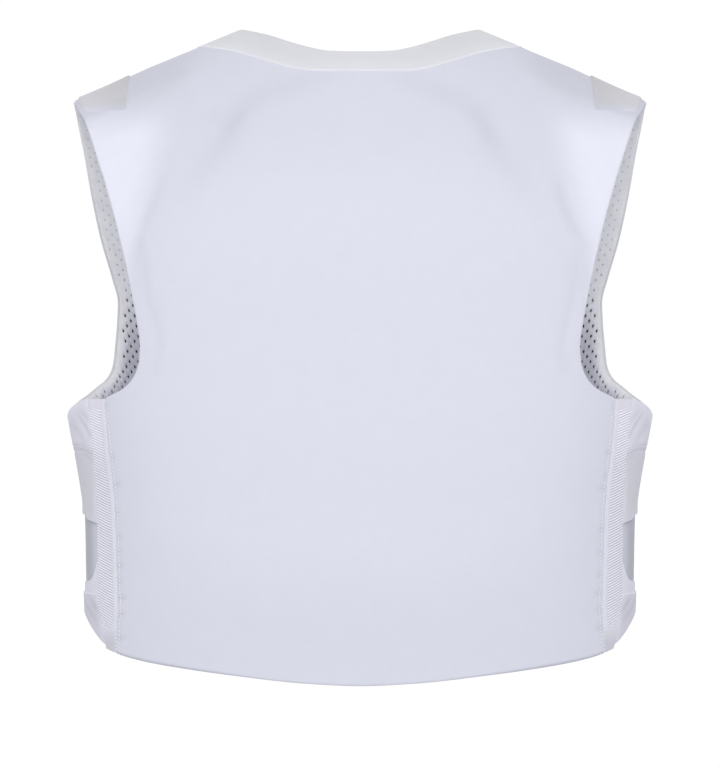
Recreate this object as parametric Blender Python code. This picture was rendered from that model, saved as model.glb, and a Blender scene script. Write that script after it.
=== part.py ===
"""Stab vest in its worn form.

Padded front and back panels hang from the shoulders.  Ribbed elastic is sewn to
the back panel's side edges, and cloth wings and straps run from it round the
wearer's sides, over the front panel.  A band goes round the neck opening, and a
strap over each shoulder joins the two panels.

The wearer faces -Y, with the left side at +X and the head at +Z.  The origin is
midway between the shoulders, at the height where the vest rests on them.  An
angle is measured round the torso from the wearer's side: 0 at the side, 90 at
the middle of the back or of the front.
"""

import bpy
import numpy as np

# Gaps between pieces
SEAM_GAP = 0.0008
LAYER_GAP = 0.0004
SEAM_GAP_ANGLE = 0.25

# Thicknesses
PANEL_RIM = 0.0040
PANEL_PAD = 0.0042
PAD_CROWN = 0.0012
CROWN_POWER_ACROSS = 6
CROWN_POWER_UP = 5
WING_THICKNESS = 0.0016
STRAP_THICKNESS = 0.0012
ELASTIC_THICKNESS = 0.0018
LINING_THICKNESS = 0.0018
BAND_THICKNESS = 0.0028

# Insets from the torso form to a piece's outer face
FRONT_INSET = 0.0029
INSET_FADE = 0.060
ELASTIC_INSET = 0.0016
ELASTIC_INSET_START = 14.0
ELASTIC_INSET_FADE = 8.0
STRAP_INSET = 0.0004
BAND_PROUD = 0.0005

# Torso form: outer faces of the back panel and of the side wings
SECTION_POWER = 2.4
TORSO_COLUMNS = ("height", "half_width", "back", "front")
TORSO = (
    (-0.460, 0.2130, 0.114, 0.121),
    (-0.400, 0.2150, 0.118, 0.125),
    (-0.330, 0.2165, 0.122, 0.128),
    (-0.286, 0.2227, 0.125, 0.130),
    (-0.255, 0.2285, 0.126, 0.130),
    (-0.160, 0.2450, 0.126, 0.124),
    (-0.060, 0.2620, 0.121, 0.112),
    (0.050, 0.2700, 0.118, 0.098),
)

# Shoulders: the form closes from its full depth to a sloping ridge
SHOULDER_START = -0.160
SHOULDER_POWER = 2.2
SHOULDER_SLOPE = 0.411
NECK_HALF_WIDTH = 0.124
NECK_SIDE_HEIGHT = 0.030
RIDGE_ANGLE = 37.7
SHOULDER_TIP = 0.2215

# Steps for reading the form's normals
RIDGE_STEP = 0.00002
HEIGHT_STEP = 0.000001
TURN_STEP = 0.0001

# Passes that settle where a piece's curved edges cross
EDGE_PASSES = 12

# Neck opening: the band's outer edge at x, and its inner edge at NECK_INNER times x
NECK_INNER = 0.754
NECK_GAP_SHARE = 0.05
NECK_COLUMNS = ("x", "back_outer", "back_inner", "front_outer", "front_inner")
NECK = (
    (0.0000, 0.0055, 0.0201, -0.085, -0.066),
    (0.0304, 0.0059, 0.0209, -0.082, -0.063),
    (0.0452, 0.0074, 0.0230, -0.077, -0.058),
    (0.0683, 0.0142, 0.0283, -0.058, -0.039),
    (0.0937, 0.0229, 0.0355, -0.022, -0.003),
    (0.1111, 0.0272, 0.0395, 0.008, 0.023),
    (0.1240, 0.0300, 0.0425, 0.030, 0.0425),
)

# Hem, by angle from the side
HEM_COLUMNS = ("angle", "height")
HEM = (
    (0, -0.4120),
    (10, -0.4160),
    (20, -0.4215),
    (29, -0.4320),
    (34, -0.4370),
    (43, -0.4427),
    (53, -0.4480),
    (64, -0.4530),
    (79, -0.4587),
    (90, -0.4605),
)

# Side edges of the panels, from the hem up the side seam and the armhole to the
# shoulder.  A negative angle is past the side, towards the other panel.
EDGE_COLUMNS = ("height", "angle")
BACK_EDGE = (
    (-0.460, 33.5),
    (-0.436, 33.5),
    (-0.400, 34.8),
    (-0.330, 34.5),
    (-0.285, 35.0),
    (-0.2530, 36.2),
    (-0.2445, 36.7),
    (-0.2421, 38.3),
    (-0.2391, 41.0),
    (-0.2338, 44.0),
    (-0.2247, 46.5),
    (-0.2149, 47.7),
    (-0.1998, 48.4),
    (-0.1657, 47.9),
    (-0.1278, 47.0),
    (-0.0879, 45.4),
    (-0.0463, 42.4),
    (-0.0301, 40.8),
    (-0.0100, RIDGE_ANGLE),
    (0.050, RIDGE_ANGLE),
)
FRONT_EDGE = (
    (-0.460, -31.0),
    (-0.345, -31.0),
    (-0.310, -25.0),
    (-0.285, -15.0),
    (-0.265, -2.0),
    (-0.2540, 7.0),
    (-0.2487, 13.2),
    (-0.2425, 22.9),
    (-0.2362, 28.4),
    (-0.2298, 33.1),
    (-0.2200, 36.0),
    (-0.2042, 37.9),
    (-0.1785, 40.2),
    (-0.1640, 41.0),
    (-0.1500, 40.4),
    (-0.1148, 38.9),
    (-0.0584, 38.0),
    (-0.0165, 37.2),
    (0.050, RIDGE_ANGLE),
)

# How the inner columns of faces follow those edges, only in broad curves
BACK_FLOW = (
    (-0.280, 35.0),
    (-0.180, 46.0),
    (0.000, RIDGE_ANGLE),
)
FRONT_FLOW = (
    (-0.400, -31.0),
    (-0.150, RIDGE_ANGLE),
)
FLOW_POWER = 4

# Heights of the panels' rows of faces, read at their side edge
BACK_ROWS = (
    -0.437, -0.400, -0.360, -0.320, -0.285, -0.258, -0.2455, -0.2421, -0.2391, -0.2338, -0.2247,
    -0.2149, -0.1998, -0.1657, -0.1278, -0.0879, -0.0600, -0.0400, -0.0260, -0.0170, -0.0125,
    -0.0102,
)
FRONT_ROWS = (
    -0.432, -0.395, -0.360, -0.330, -0.305, -0.282, -0.2655, -0.2550, -0.2487, -0.2425, -0.2362,
    -0.2298, -0.2200, -0.2042, -0.1785, -0.1500, -0.1148, -0.0760, -0.0450, -0.0270, -0.0170,
    -0.0125, -0.0102,
)
NECK_FACES = 10
SHOULDER_FACES = 6

# Ribbed elastic: its outer edge by height, and its ribs
ELASTIC_EDGE = (
    (-0.460, 32.5),
    (-0.432, 30.5),
    (-0.412, 28.0),
    (-0.390, 26.8),
    (-0.330, 26.5),
    (-0.290, 28.5),
    (-0.245, 30.8),
)
ELASTIC_TOP = -0.2465
ELASTIC_HEM_ANGLES = (31.0, 34.0)
RIB_PITCH = 0.0030
RIB_DEPTH = 0.0008
RIB_RISE = 0.0080
RIB_FADE = 0.06

# Side wings and straps, at the side and at the elastic
WING_FRONT_ANGLE = -48.0
WING_BACK_ANGLE = 28.0
WING_FACES = 24
WING_TOP = (-0.2500, -0.2465)
WING_STITCH = (-0.2880, -0.2835)
STRAP_BOTTOM = (-0.3395, -0.3405)
LOWER_WING_TOP = (-0.3880, -0.3800)
STRAP_ROWS = 2
LOWER_WING_ROWS = 6

# Shoulder strap, from the front over the ridge to the back
SHOULDER_STRAP_INNER = 0.178
SHOULDER_STRAP_BACK_END = -0.0175
SHOULDER_STRAP_FRONT_END = -0.0450
SHOULDER_STRAP_BACK_FACES = 6
SHOULDER_STRAP_FRONT_FACES = 8
SHOULDER_STRAP_ROWS = 3
SHOULDER_STRAP_THICKNESS = 0.0014
SHOULDER_STRAP_INSET = 0.0010
SHOULDER_STRAP_GAP = 0.0009

WHITE_CLOTH = (0.78, 0.79, 0.85)
BAND_CLOTH = (0.80, 0.80, 0.82)
ELASTIC_CLOTH = (0.74, 0.75, 0.78)
STRAP_CLOTH = (0.70, 0.70, 0.74)
MESH_CLOTH = (0.66, 0.67, 0.73)
CLOTH_ROUGHNESS = 0.85
SHARP_ANGLE = 40


def column(table, names, name):
    """One named column of a table."""
    return np.array([row[names.index(name)] for row in table])


def smooth(x, xs, ys):
    """A cubic curve through the points (xs, ys), with no overshoot, read at x."""
    steps = np.diff(xs)
    rises = np.diff(ys) / steps
    slopes = np.zeros(len(xs))
    for k in range(1, len(xs) - 1):
        if rises[k - 1] * rises[k] > 0:
            slopes[k] = 2 * rises[k - 1] * rises[k] / (rises[k - 1] + rises[k])
    i = np.clip(np.searchsorted(xs, x) - 1, 0, len(xs) - 2)
    t = np.clip((x - xs[i]) / steps[i], 0, 1)
    start = ys[i] * (1 + 2 * t) + slopes[i] * steps[i] * t
    end = ys[i + 1] * (3 - 2 * t) - slopes[i + 1] * steps[i] * (1 - t)
    return start * (1 - t) ** 2 + end * t ** 2


def torso(height, name):
    """Half width or depth of the torso form at a height."""
    return smooth(height, column(TORSO, TORSO_COLUMNS, "height"), column(TORSO, TORSO_COLUMNS, name))


def ridge(x):
    """Height of the shoulder ridge."""
    return NECK_SIDE_HEIGHT - SHOULDER_SLOPE * (np.abs(x) - NECK_HALF_WIDTH)


def closing(x, height):
    """Share of the form's depth that is left near the shoulder ridge."""
    share = (height - SHOULDER_START) / (ridge(x) - SHOULDER_START)
    return np.sqrt(1 - np.clip(share, 0, 1) ** SHOULDER_POWER)


def form_point(turn, height):
    """Point of the form; turn runs anticlockwise from 0 at the left side, 90 at the back."""
    turn = np.radians(turn)
    reach = np.abs(np.cos(turn)) ** SECTION_POWER + np.abs(np.sin(turn)) ** SECTION_POWER
    reach = reach ** (-1 / SECTION_POWER)
    x = torso(height, "half_width") * reach * np.cos(turn)
    deep = np.where(np.sin(turn) > 0, torso(height, "back"), torso(height, "front"))
    y = deep * reach * np.sin(turn) * closing(x, height)
    return np.stack(np.broadcast_arrays(x, y, height), axis=-1)


def form_normal(turn, height):
    """Outward unit normal of the form, read just under the point for the ridge's sake."""
    below = height - RIDGE_STEP
    along = form_point(turn + TURN_STEP, below) - form_point(turn - TURN_STEP, below)
    up = form_point(turn, below + HEIGHT_STEP) - form_point(turn, below - HEIGHT_STEP)
    return unit(np.cross(along, up))


def turn_at_x(x, height, side):
    """Turn of the form's back (side 1) or front (side -1) at a given x."""
    share = np.clip(x / torso(height, "half_width"), -1, 1)
    deep = (1 - np.abs(share) ** SECTION_POWER) ** (1 / SECTION_POWER)
    return np.degrees(np.arctan2(side * deep, share))


def hem(angle):
    """Height of the hem at an angle from the side."""
    return smooth(np.abs(angle), column(HEM, HEM_COLUMNS, "angle"), column(HEM, HEM_COLUMNS, "height"))


def edge_angle(table, height):
    """Angle of a panel's edge, or of the elastic's, at a height."""
    return smooth(height, column(table, EDGE_COLUMNS, "height"), column(table, EDGE_COLUMNS, "angle"))


def neck(x, name):
    """Height of one of the neck band's edges at x on its outer edge."""
    return smooth(np.abs(x), column(NECK, NECK_COLUMNS, "x"), column(NECK, NECK_COLUMNS, name))


def top_edge(x, side):
    """Height of a panel's top edge: neck opening inside, shoulder ridge outside."""
    neck_height = neck(x, "back_outer" if side > 0 else "front_outer")
    return np.where(np.abs(x) < NECK_HALF_WIDTH, neck_height, ridge(x))


def panel_columns(table, side):
    """Columns of a panel, from -1 to 1, with one at each corner of the neck."""
    corner = turn_at_x(NECK_HALF_WIDTH, NECK_SIDE_HEIGHT, side)
    neck_column = (90 - np.abs(corner)) / (90 - edge_angle(table, NECK_SIDE_HEIGHT))
    inner = neck_column * np.sin(np.linspace(-np.pi / 2, np.pi / 2, NECK_FACES + 1))
    outer = np.linspace(neck_column, 1, SHOULDER_FACES + 1)[1:]
    return np.concatenate((-outer[::-1], inner, outer))


def panel_sheet(side, rows):
    """Turns and heights of a panel's grid, with its columns and its row shares."""
    table, flow = (BACK_EDGE, BACK_FLOW) if side > 0 else (FRONT_EDGE, FRONT_FLOW)
    columns = panel_columns(table, side)

    def turn(height):
        broad = edge_angle(flow, height)
        near_edge = np.abs(columns) ** FLOW_POWER * (broad - edge_angle(table, height))
        return 90 * side + columns * (90 - broad + near_edge)

    low = np.full(len(columns), HEM[-1][1])
    high = np.zeros(len(columns))
    for _ in range(EDGE_PASSES):
        low = hem(90 - np.abs(90 * side - turn(low)))
        high = top_edge(form_point(turn(high), high)[:, 0], side)
    rows = np.array(rows)
    shares = (rows - rows[0]) / (rows[-1] - rows[0])
    heights = low + (high - low) * shares[:, None]
    return turn(heights), heights, columns, shares


def unit(vectors):
    """Vectors scaled to length 1."""
    return vectors / np.linalg.norm(vectors, axis=-1, keepdims=True)


def solid(name, outer, inner, colour, ring=False):
    """Closed body between an outer and an inner grid of points."""
    rows, columns = outer.shape[:2]
    spans = columns if ring else columns - 1
    numbers = np.arange(2 * rows * columns).reshape(2, rows, columns)
    faces = []
    for j in range(spans):
        k = (j + 1) % columns
        for front, back in zip(range(rows - 1), range(1, rows)):
            for layer, turn in ((0, 1), (1, -1)):
                grid = numbers[layer]
                low_left, low_right, high_right, high_left = (
                    grid[front, j], grid[front, k], grid[back, k], grid[back, j])
                if 2 * j < spans:
                    halves = ((low_left, low_right, high_right), (low_left, high_right, high_left))
                else:
                    halves = ((low_left, low_right, high_left), (low_right, high_right, high_left))
                faces += [half[::turn] for half in halves]
        faces.append((numbers[1, 0, j], numbers[1, 0, k], numbers[0, 0, k], numbers[0, 0, j]))
        faces.append((numbers[0, -1, j], numbers[0, -1, k], numbers[1, -1, k], numbers[1, -1, j]))
    if not ring:
        for i in range(rows - 1):
            for j, turn in ((0, 1), (columns - 1, -1)):
                face = (numbers[0, i, j], numbers[0, i + 1, j], numbers[1, i + 1, j], numbers[1, i, j])
                faces.append(face[::turn])
    points = np.concatenate((outer, inner)).reshape(-1, 3)
    mesh = bpy.data.meshes.new(name)
    mesh.from_pydata(points.tolist(), [], [[int(corner) for corner in face] for face in faces])
    mesh.shade_smooth()
    mesh.set_sharp_from_angle(angle=np.radians(SHARP_ANGLE))
    material = bpy.data.materials.new(name)
    material.use_nodes = True
    shader = material.node_tree.nodes["Principled BSDF"]
    shader.inputs["Base Color"].default_value = (*colour, 1)
    shader.inputs["Roughness"].default_value = CLOTH_ROUGHNESS
    shader.inputs["Metallic"].default_value = 0.0
    mesh.materials.append(material)
    piece = bpy.data.objects.new(name, mesh)
    bpy.context.collection.objects.link(piece)
    return piece


def mirrored(points):
    """The same grid on the wearer's right, still running anticlockwise."""
    return (points * (-1, 1, 1))[:, ::-1]


def side_solids(name, outer, inner, colour):
    """A piece on the wearer's left and its mirror image on the right."""
    solid(f"{name}_left", outer, inner, colour)
    solid(f"{name}_right", mirrored(outer), mirrored(inner), colour)


def panel_crown(columns, shares):
    """How far the padding fills a panel: 1 inside, 0 at its edges."""
    across = 1 - np.abs(columns) ** CROWN_POWER_ACROSS
    up = 1 - np.abs(2 * shares - 1) ** CROWN_POWER_UP
    return (up[:, None] * across[None, :])[..., None]


def panel_faces(side, rows):
    """Outer face, normals and thickness of a padded panel."""
    turns, heights, columns, shares = panel_sheet(side, rows)
    sheet = form_point(turns, heights)
    normals = form_normal(turns, heights)
    shoulder = np.abs(sheet[-1, :, 0]) > NECK_HALF_WIDTH - LAYER_GAP
    normals[-1, shoulder, 1] = 0
    normals = unit(normals)
    crown = panel_crown(columns, shares)
    if side > 0:
        outer = sheet + normals * PAD_CROWN * crown
    else:
        outer = sheet - normals * front_inset(turns, heights)[..., None]
    outer[..., 1] += side * LAYER_GAP / 2
    return outer, normals, PANEL_RIM + PANEL_PAD * crown


def front_inset(turns, heights):
    """How deep the front panel lies: under the wings, and more under the elastic."""
    under_wings = np.clip((SHOULDER_START - heights) / INSET_FADE, 0, 1)
    past_side = np.abs(turns + 90) - 90
    under_elastic = np.clip((past_side - ELASTIC_INSET_START) / ELASTIC_INSET_FADE, 0, 1)
    return FRONT_INSET * under_wings + ELASTIC_INSET * under_elastic


def make_panels():
    """Back panel, front panel and the front panel's lining."""
    outer, normals, thickness = panel_faces(1, BACK_ROWS)
    solid("back_panel", outer, outer - normals * thickness, WHITE_CLOTH)

    outer, normals, thickness = panel_faces(-1, FRONT_ROWS)
    inner = outer - normals * thickness
    solid("front_panel", outer, inner, WHITE_CLOTH)
    lining = inner - normals * LAYER_GAP
    solid("front_lining", lining, lining - normals * LINING_THICKNESS, MESH_CLOTH)


def neck_arc(side):
    """The panel's neck edge, as x on the band's outer edge, in the ring's order."""
    turns, heights, _, _ = panel_sheet(side, (0, 1))
    x = form_point(turns[-1], heights[-1])[:, 0]
    return x[np.abs(x) < NECK_HALF_WIDTH + LAYER_GAP][:-1]


def make_neck_band():
    """The band round the neck opening, a ring that lies on the form."""
    width = 1 - NECK_INNER
    across = np.array((NECK_GAP_SHARE, 0.5, 1.0))[:, None]
    points = []
    normals = []
    for side, name in ((1, "back"), (-1, "front")):
        x_outer = neck_arc(side)
        low = neck(x_outer, f"{name}_outer")
        high = neck(x_outer, f"{name}_inner")
        x = x_outer * (1 - width * across)
        heights = np.minimum(low + (high - low) * across, ridge(x))
        turns = turn_at_x(x, heights, side)
        points.append(form_point(turns, heights))
        normals.append(form_normal(turns, heights))
    points = np.concatenate(points, axis=1)
    normals = np.concatenate(normals, axis=1)
    outer = points + normals * BAND_PROUD
    solid("neck_band", outer, outer - normals * BAND_THICKNESS, BAND_CLOTH, ring=True)


def make_elastics():
    """Ribbed elastic beside the back panel: thick and thin rows by turns."""
    low = hem(np.array(ELASTIC_HEM_ANGLES))[None, :]
    count = 2 * round((ELASTIC_TOP - low.min()) / RIB_PITCH)
    shares = np.linspace(0, 1, count + 1)[:, None]
    across = np.array((0.0, 1.0))[None, :]
    lean = RIB_RISE * (0.5 - across) * np.clip(np.minimum(shares, 1 - shares) / RIB_FADE, 0, 1)
    heights = low + (ELASTIC_TOP - low) * shares + lean
    seam = edge_angle(BACK_EDGE, heights) - SEAM_GAP_ANGLE
    outside = edge_angle(ELASTIC_EDGE, heights)
    turns = outside + (seam - outside) * across
    sheet = form_point(turns, heights)
    normals = form_normal(turns, heights)
    ribs = RIB_DEPTH * (np.arange(count + 1) % 2)[:, None, None]
    side_solids("side_elastic", sheet - normals * ribs, sheet - normals * ELASTIC_THICKNESS,
                ELASTIC_CLOTH)


def side_sheet(bottom, top, faces):
    """Turns and heights from the front overlap to the elastic's outer edge."""
    shares = np.linspace(0, 1, faces + 1)[:, None]
    steps = np.linspace(0, 1, WING_FACES + 1)[None, :]
    angles = WING_FRONT_ANGLE + (WING_BACK_ANGLE - WING_FRONT_ANGLE) * steps
    for _ in range(EDGE_PASSES):
        heights = bottom(angles) + (top(angles) - bottom(angles)) * shares
        edge = edge_angle(ELASTIC_EDGE, heights) - SEAM_GAP_ANGLE
        angles = WING_FRONT_ANGLE + (edge - WING_FRONT_ANGLE) * steps
    return angles, heights


def sloping(heights, shift=0.0):
    """Height by angle: level round the front, running to the elastic behind."""
    at_side, at_elastic = heights

    def height(angle):
        share = np.clip(angle / WING_BACK_ANGLE, 0, 1)
        return at_side + (at_elastic - at_side) * share + shift

    return height


def make_wings():
    """Upper wing, strap and lower wing on each side."""
    make_side_piece("upper_wing", sloping(WING_STITCH, SEAM_GAP), sloping(WING_TOP), STRAP_ROWS,
                    0.0, WING_THICKNESS, WHITE_CLOTH)
    make_side_piece("side_strap", sloping(STRAP_BOTTOM), sloping(WING_STITCH), STRAP_ROWS,
                    STRAP_INSET, STRAP_THICKNESS, STRAP_CLOTH)
    make_side_piece("lower_wing", hem, sloping(LOWER_WING_TOP), LOWER_WING_ROWS,
                    0.0, WING_THICKNESS, WHITE_CLOTH)


def make_side_piece(name, bottom, top, faces, inset, thickness, colour):
    """One layer of cloth round each side, between two edges given by angle."""
    turns, heights = side_sheet(bottom, top, faces)
    normals = form_normal(turns, heights)
    outer = form_point(turns, heights) - normals * inset
    side_solids(name, outer, outer - normals * thickness, colour)


def make_shoulder_straps():
    """A strap over the outer end of each shoulder, from front to back."""
    across = np.linspace(0, 1, SHOULDER_STRAP_ROWS + 1)[:, None]
    front_steps = np.linspace(1, 0, SHOULDER_STRAP_FRONT_FACES + 1)
    back_steps = np.linspace(0, 1, SHOULDER_STRAP_BACK_FACES + 1)[1:]
    points = []
    normals = []
    for side, end, table, steps in (
        (-1, SHOULDER_STRAP_FRONT_END, FRONT_EDGE, front_steps),
        (1, SHOULDER_STRAP_BACK_END, BACK_EDGE, back_steps),
    ):
        edge = form_point(edge_angle(table, end), end)[0]
        outside = SHOULDER_TIP + (edge - SHOULDER_TIP) * steps ** 2 - SHOULDER_STRAP_INSET
        x = outside + (SHOULDER_STRAP_INNER - outside) * across
        heights = ridge(x) + (end - ridge(x)) * steps ** 2
        turns = turn_at_x(x, heights, side)
        points.append(form_point(turns, heights))
        normals.append(form_normal(turns, heights))
    points = np.concatenate(points, axis=1)
    normals = np.concatenate(normals, axis=1)
    inner = points + normals * SHOULDER_STRAP_GAP
    side_solids("shoulder_strap", inner + normals * SHOULDER_STRAP_THICKNESS, inner, STRAP_CLOTH)


for old in list(bpy.data.objects):
    bpy.data.objects.remove(old, do_unlink=True)

make_panels()
make_neck_band()
make_elastics()
make_wings()
make_shoulder_straps()
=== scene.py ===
"""The looks of a stab vest in its worn form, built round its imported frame.

Lengths are in metres.  The wearer faces -Y, with the left side at +X and the head
at +Z, and the camera looks at the wearer's back.  Each piece is a grid that follows
the torso form: a turn runs anticlockwise round the torso, 0 at the wearer's left
side and 90 at the middle of the back.
"""

import bmesh
import bpy
import numpy as np
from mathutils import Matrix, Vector


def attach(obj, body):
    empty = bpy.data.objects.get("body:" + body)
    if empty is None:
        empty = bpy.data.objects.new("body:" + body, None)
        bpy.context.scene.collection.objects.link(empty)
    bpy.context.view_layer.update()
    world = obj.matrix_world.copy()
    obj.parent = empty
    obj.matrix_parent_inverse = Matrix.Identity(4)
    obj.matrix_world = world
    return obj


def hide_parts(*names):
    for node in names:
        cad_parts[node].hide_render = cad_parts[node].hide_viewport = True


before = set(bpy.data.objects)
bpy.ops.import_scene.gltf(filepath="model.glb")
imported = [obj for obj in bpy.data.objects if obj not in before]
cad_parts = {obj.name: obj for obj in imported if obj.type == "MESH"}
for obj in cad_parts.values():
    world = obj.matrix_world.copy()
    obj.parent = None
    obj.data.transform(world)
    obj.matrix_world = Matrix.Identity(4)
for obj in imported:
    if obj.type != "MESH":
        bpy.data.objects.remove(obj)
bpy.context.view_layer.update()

# Thicknesses, and the gap between layers
LAYER_GAP = 0.0004
PANEL_RIM = 0.0040
PANEL_PAD = 0.0042
PAD_CROWN = 0.0012
CROWN_POWER_ACROSS = 6
CROWN_POWER_UP = 5
WING_THICKNESS = 0.0016
STRAP_THICKNESS = 0.0012
ELASTIC_THICKNESS = 0.0018
LINING_THICKNESS = 0.0018
BAND_THICKNESS = 0.0028

# Insets from the torso form to a piece's outer face
FRONT_INSET = 0.0022
INSET_FADE = 0.060
ELASTIC_INSET = 0.0016
ELASTIC_INSET_START = 14.0
ELASTIC_INSET_FADE = 8.0
STRAP_INSET = 0.0004
BAND_PROUD = 0.0005

# Torso form: outer faces of the back panel and of the side wings
SECTION_POWER = 2.4
TORSO_COLUMNS = ("height", "half_width", "back", "front")
TORSO = (
    (-0.460, 0.2130, 0.114, 0.121),
    (-0.400, 0.2150, 0.118, 0.125),
    (-0.330, 0.2165, 0.122, 0.128),
    (-0.286, 0.2227, 0.125, 0.130),
    (-0.255, 0.2285, 0.126, 0.130),
    (-0.160, 0.2450, 0.126, 0.124),
    (-0.060, 0.2620, 0.121, 0.112),
    (0.050, 0.2700, 0.118, 0.098),
)

# Shoulders: the form closes from its full depth to a sloping ridge
SHOULDER_START = -0.160
SHOULDER_POWER = 2.2
SHOULDER_SLOPE = 0.411
NECK_HALF_WIDTH = 0.124
NECK_SIDE_HEIGHT = 0.030
RIDGE_ANGLE = 37.7
SHOULDER_TIP = 0.2215
STRAP_SEAT = 0.0018
STRAP_SEAT_X = (0.160, 0.205)

# Steps for reading the form's normals, and passes that settle where edges cross
RIDGE_STEP = 0.00002
HEIGHT_STEP = 0.000001
TURN_STEP = 0.0001
EDGE_PASSES = 12

# Reading how far a grid's points are from its edges
ALL_EDGES = ("first", "last", "low", "high")
EDGE_REACH = 0.050
EDGE_STRIDE = 6

# Neck opening: the band's outer edge at x, and its inner edge at NECK_INNER times x
NECK_INNER = 0.754
NECK_GAP_SHARE = -0.10
NECK_COLUMNS = ("x", "back_outer", "back_inner", "front_outer", "front_inner")
NECK = (
    (0.0000, 0.0055, 0.0201, -0.085, -0.066),
    (0.0304, 0.0059, 0.0209, -0.082, -0.063),
    (0.0452, 0.0074, 0.0230, -0.077, -0.058),
    (0.0683, 0.0142, 0.0283, -0.058, -0.039),
    (0.0937, 0.0229, 0.0355, -0.022, -0.003),
    (0.1111, 0.0272, 0.0395, 0.008, 0.023),
    (0.1240, 0.0300, 0.0425, 0.030, 0.0425),
)

# Neck band: rows of its grid, depth and painted highlight of the seam along its lower edge, painted shade
# towards its top, and lighter towards its sides
BAND_LOW_ROWS = (0.0, 0.01, 0.03, 0.06, 0.10, 0.15)
BAND_MIDDLE_ROWS = (0.2, 0.9, 15)
BAND_HIGH_ROWS = (0.94, 0.97, 0.99, 1.0)
BAND_ROUNDING = 0.0008
PIPING_PLACE = 0.0010
PIPING_WIDTH = 0.0007
PIPING_RISE = 0.0004
PIPING_PAINTED_HIGHLIGHT = 0.10
BAND_TONE = 0.04
BAND_TONE_REACH = (0.0030, 0.0130)
BAND_SIDE_TONE = 0.05
BAND_SIDE_X = (0.070, 0.100)

# Hem, by angle from the side
HEM_COLUMNS = ("angle", "height")
HEM = (
    (0, -0.4080), (10, -0.4115), (14.5, -0.4147), (19, -0.4194), (24, -0.4262), (29, -0.4332),
    (34, -0.4390), (43, -0.4440), (53, -0.4484), (64, -0.4530), (79, -0.4587), (90, -0.4605),
)
HEM_LOW = HEM[-1][1]

# Side edges of the panels, from the hem up the side seam and the armhole
EDGE_COLUMNS = ("height", "angle")
BACK_EDGE = (
    (-0.460, 33.5), (-0.436, 33.5), (-0.400, 34.8), (-0.330, 34.5), (-0.285, 35.0),
    (-0.2530, 36.2), (-0.2445, 36.7), (-0.2421, 38.3), (-0.2391, 41.0), (-0.2338, 44.0),
    (-0.2247, 46.5), (-0.2149, 47.7), (-0.1998, 48.4), (-0.1657, 47.9), (-0.1278, 47.0),
    (-0.0879, 45.4), (-0.0463, 42.4), (-0.0301, 40.8), (-0.0100, RIDGE_ANGLE), (0.050, RIDGE_ANGLE),
)
FRONT_EDGE = (
    (-0.460, -31.0), (-0.345, -31.0), (-0.310, -25.0), (-0.285, -15.0), (-0.265, -2.0),
    (-0.2540, 7.0), (-0.2487, 13.2), (-0.2425, 22.9), (-0.2362, 28.4), (-0.2298, 33.1),
    (-0.2200, 36.0), (-0.2042, 37.9), (-0.1785, 40.2), (-0.1640, 41.0), (-0.1500, 40.4),
    (-0.1148, 38.9), (-0.0584, 38.0), (-0.0165, 37.2), (0.050, RIDGE_ANGLE),
)

# How the inner columns of a panel's grid follow those edges, in broad curves
BACK_FLOW = ((-0.280, 35.0), (-0.180, 46.0), (0.000, RIDGE_ANGLE))
FRONT_FLOW = ((-0.400, -31.0), (-0.150, RIDGE_ANGLE))
FLOW_POWER = 4

# Grids: distances of the rows next to a rim, and the number of even rows and columns
RIM_STEPS = (0.0, 0.00015, 0.0005, 0.0010, 0.0016, 0.0023, 0.0032, 0.0043, 0.0057, 0.0075)
PANEL_HALF_SPAN = 0.27
PANEL_HEIGHT = 0.445
RIDGE_DEPTH = 0.030
RIDGE_ROWS = 46
PANEL_GRIDS = {
    1: {"neck": 112, "shoulder": 36, "low": 96, "high": 64},
    -1: {"neck": 90, "shoulder": 36, "low": 70, "high": 60},
}
SEAM_TOP = -0.250
ARMHOLE_FADE = 0.01

# Ribbed elastic: its outer edge by height, its ribs and its shades: painted shade between the ribs, a painted
# highlight on them that grows towards the top, plain parts a little darker, and painted shade towards the hem
ELASTIC_EDGE = (
    (-0.460, 31.0), (-0.432, 28.8), (-0.412, 26.6), (-0.390, 25.6), (-0.330, 26.1),
    (-0.290, 28.0), (-0.245, 30.0),
)
ELASTIC_TOP = -0.2445
ELASTIC_HEM_ANGLES = (31.0, 34.0)
ELASTIC_RIM_COLUMNS = (0.0, 0.015, 0.04, 0.08)
ELASTIC_COLUMNS = (0.12, 0.88, 18)
ELASTIC_ROUNDING = 0.0006
RIB_PITCH = 0.0021
RIB_DEPTH = 0.0008
RIB_POWER = 1.5
RIB_TONE = 0.58
RIB_LIGHT = 0.19
RIB_RISE = 0.0052
RIB_FADE = 0.06
RIB_ROWS = 6
RIB_TOP = (-0.2540, -0.2505)
RIB_BOTTOM = (-0.4215, -0.4175)
PLAIN_DEPTH = 0.35
PLAIN_TONE = 0.97
ELASTIC_PLAIN_TOP = 0.01
ELASTIC_TOP_TONE = 0.08
ELASTIC_TOP_FADE = (-0.300, -0.265)
ELASTIC_HEM_TONE = 0.18
ELASTIC_HEM_FADE = (-0.433, -0.416)
SELVEDGE = (0.0006, 0.0036)
SELVEDGE_START = 0.3

# How far the elastic runs under the back panel, and the wings under the elastic
TUCK_ANGLE = 0.60
TUCK_WIDTH = 0.0030
TUCK_DEPTH = 0.0010
TUCK_START = 0.5

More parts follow.
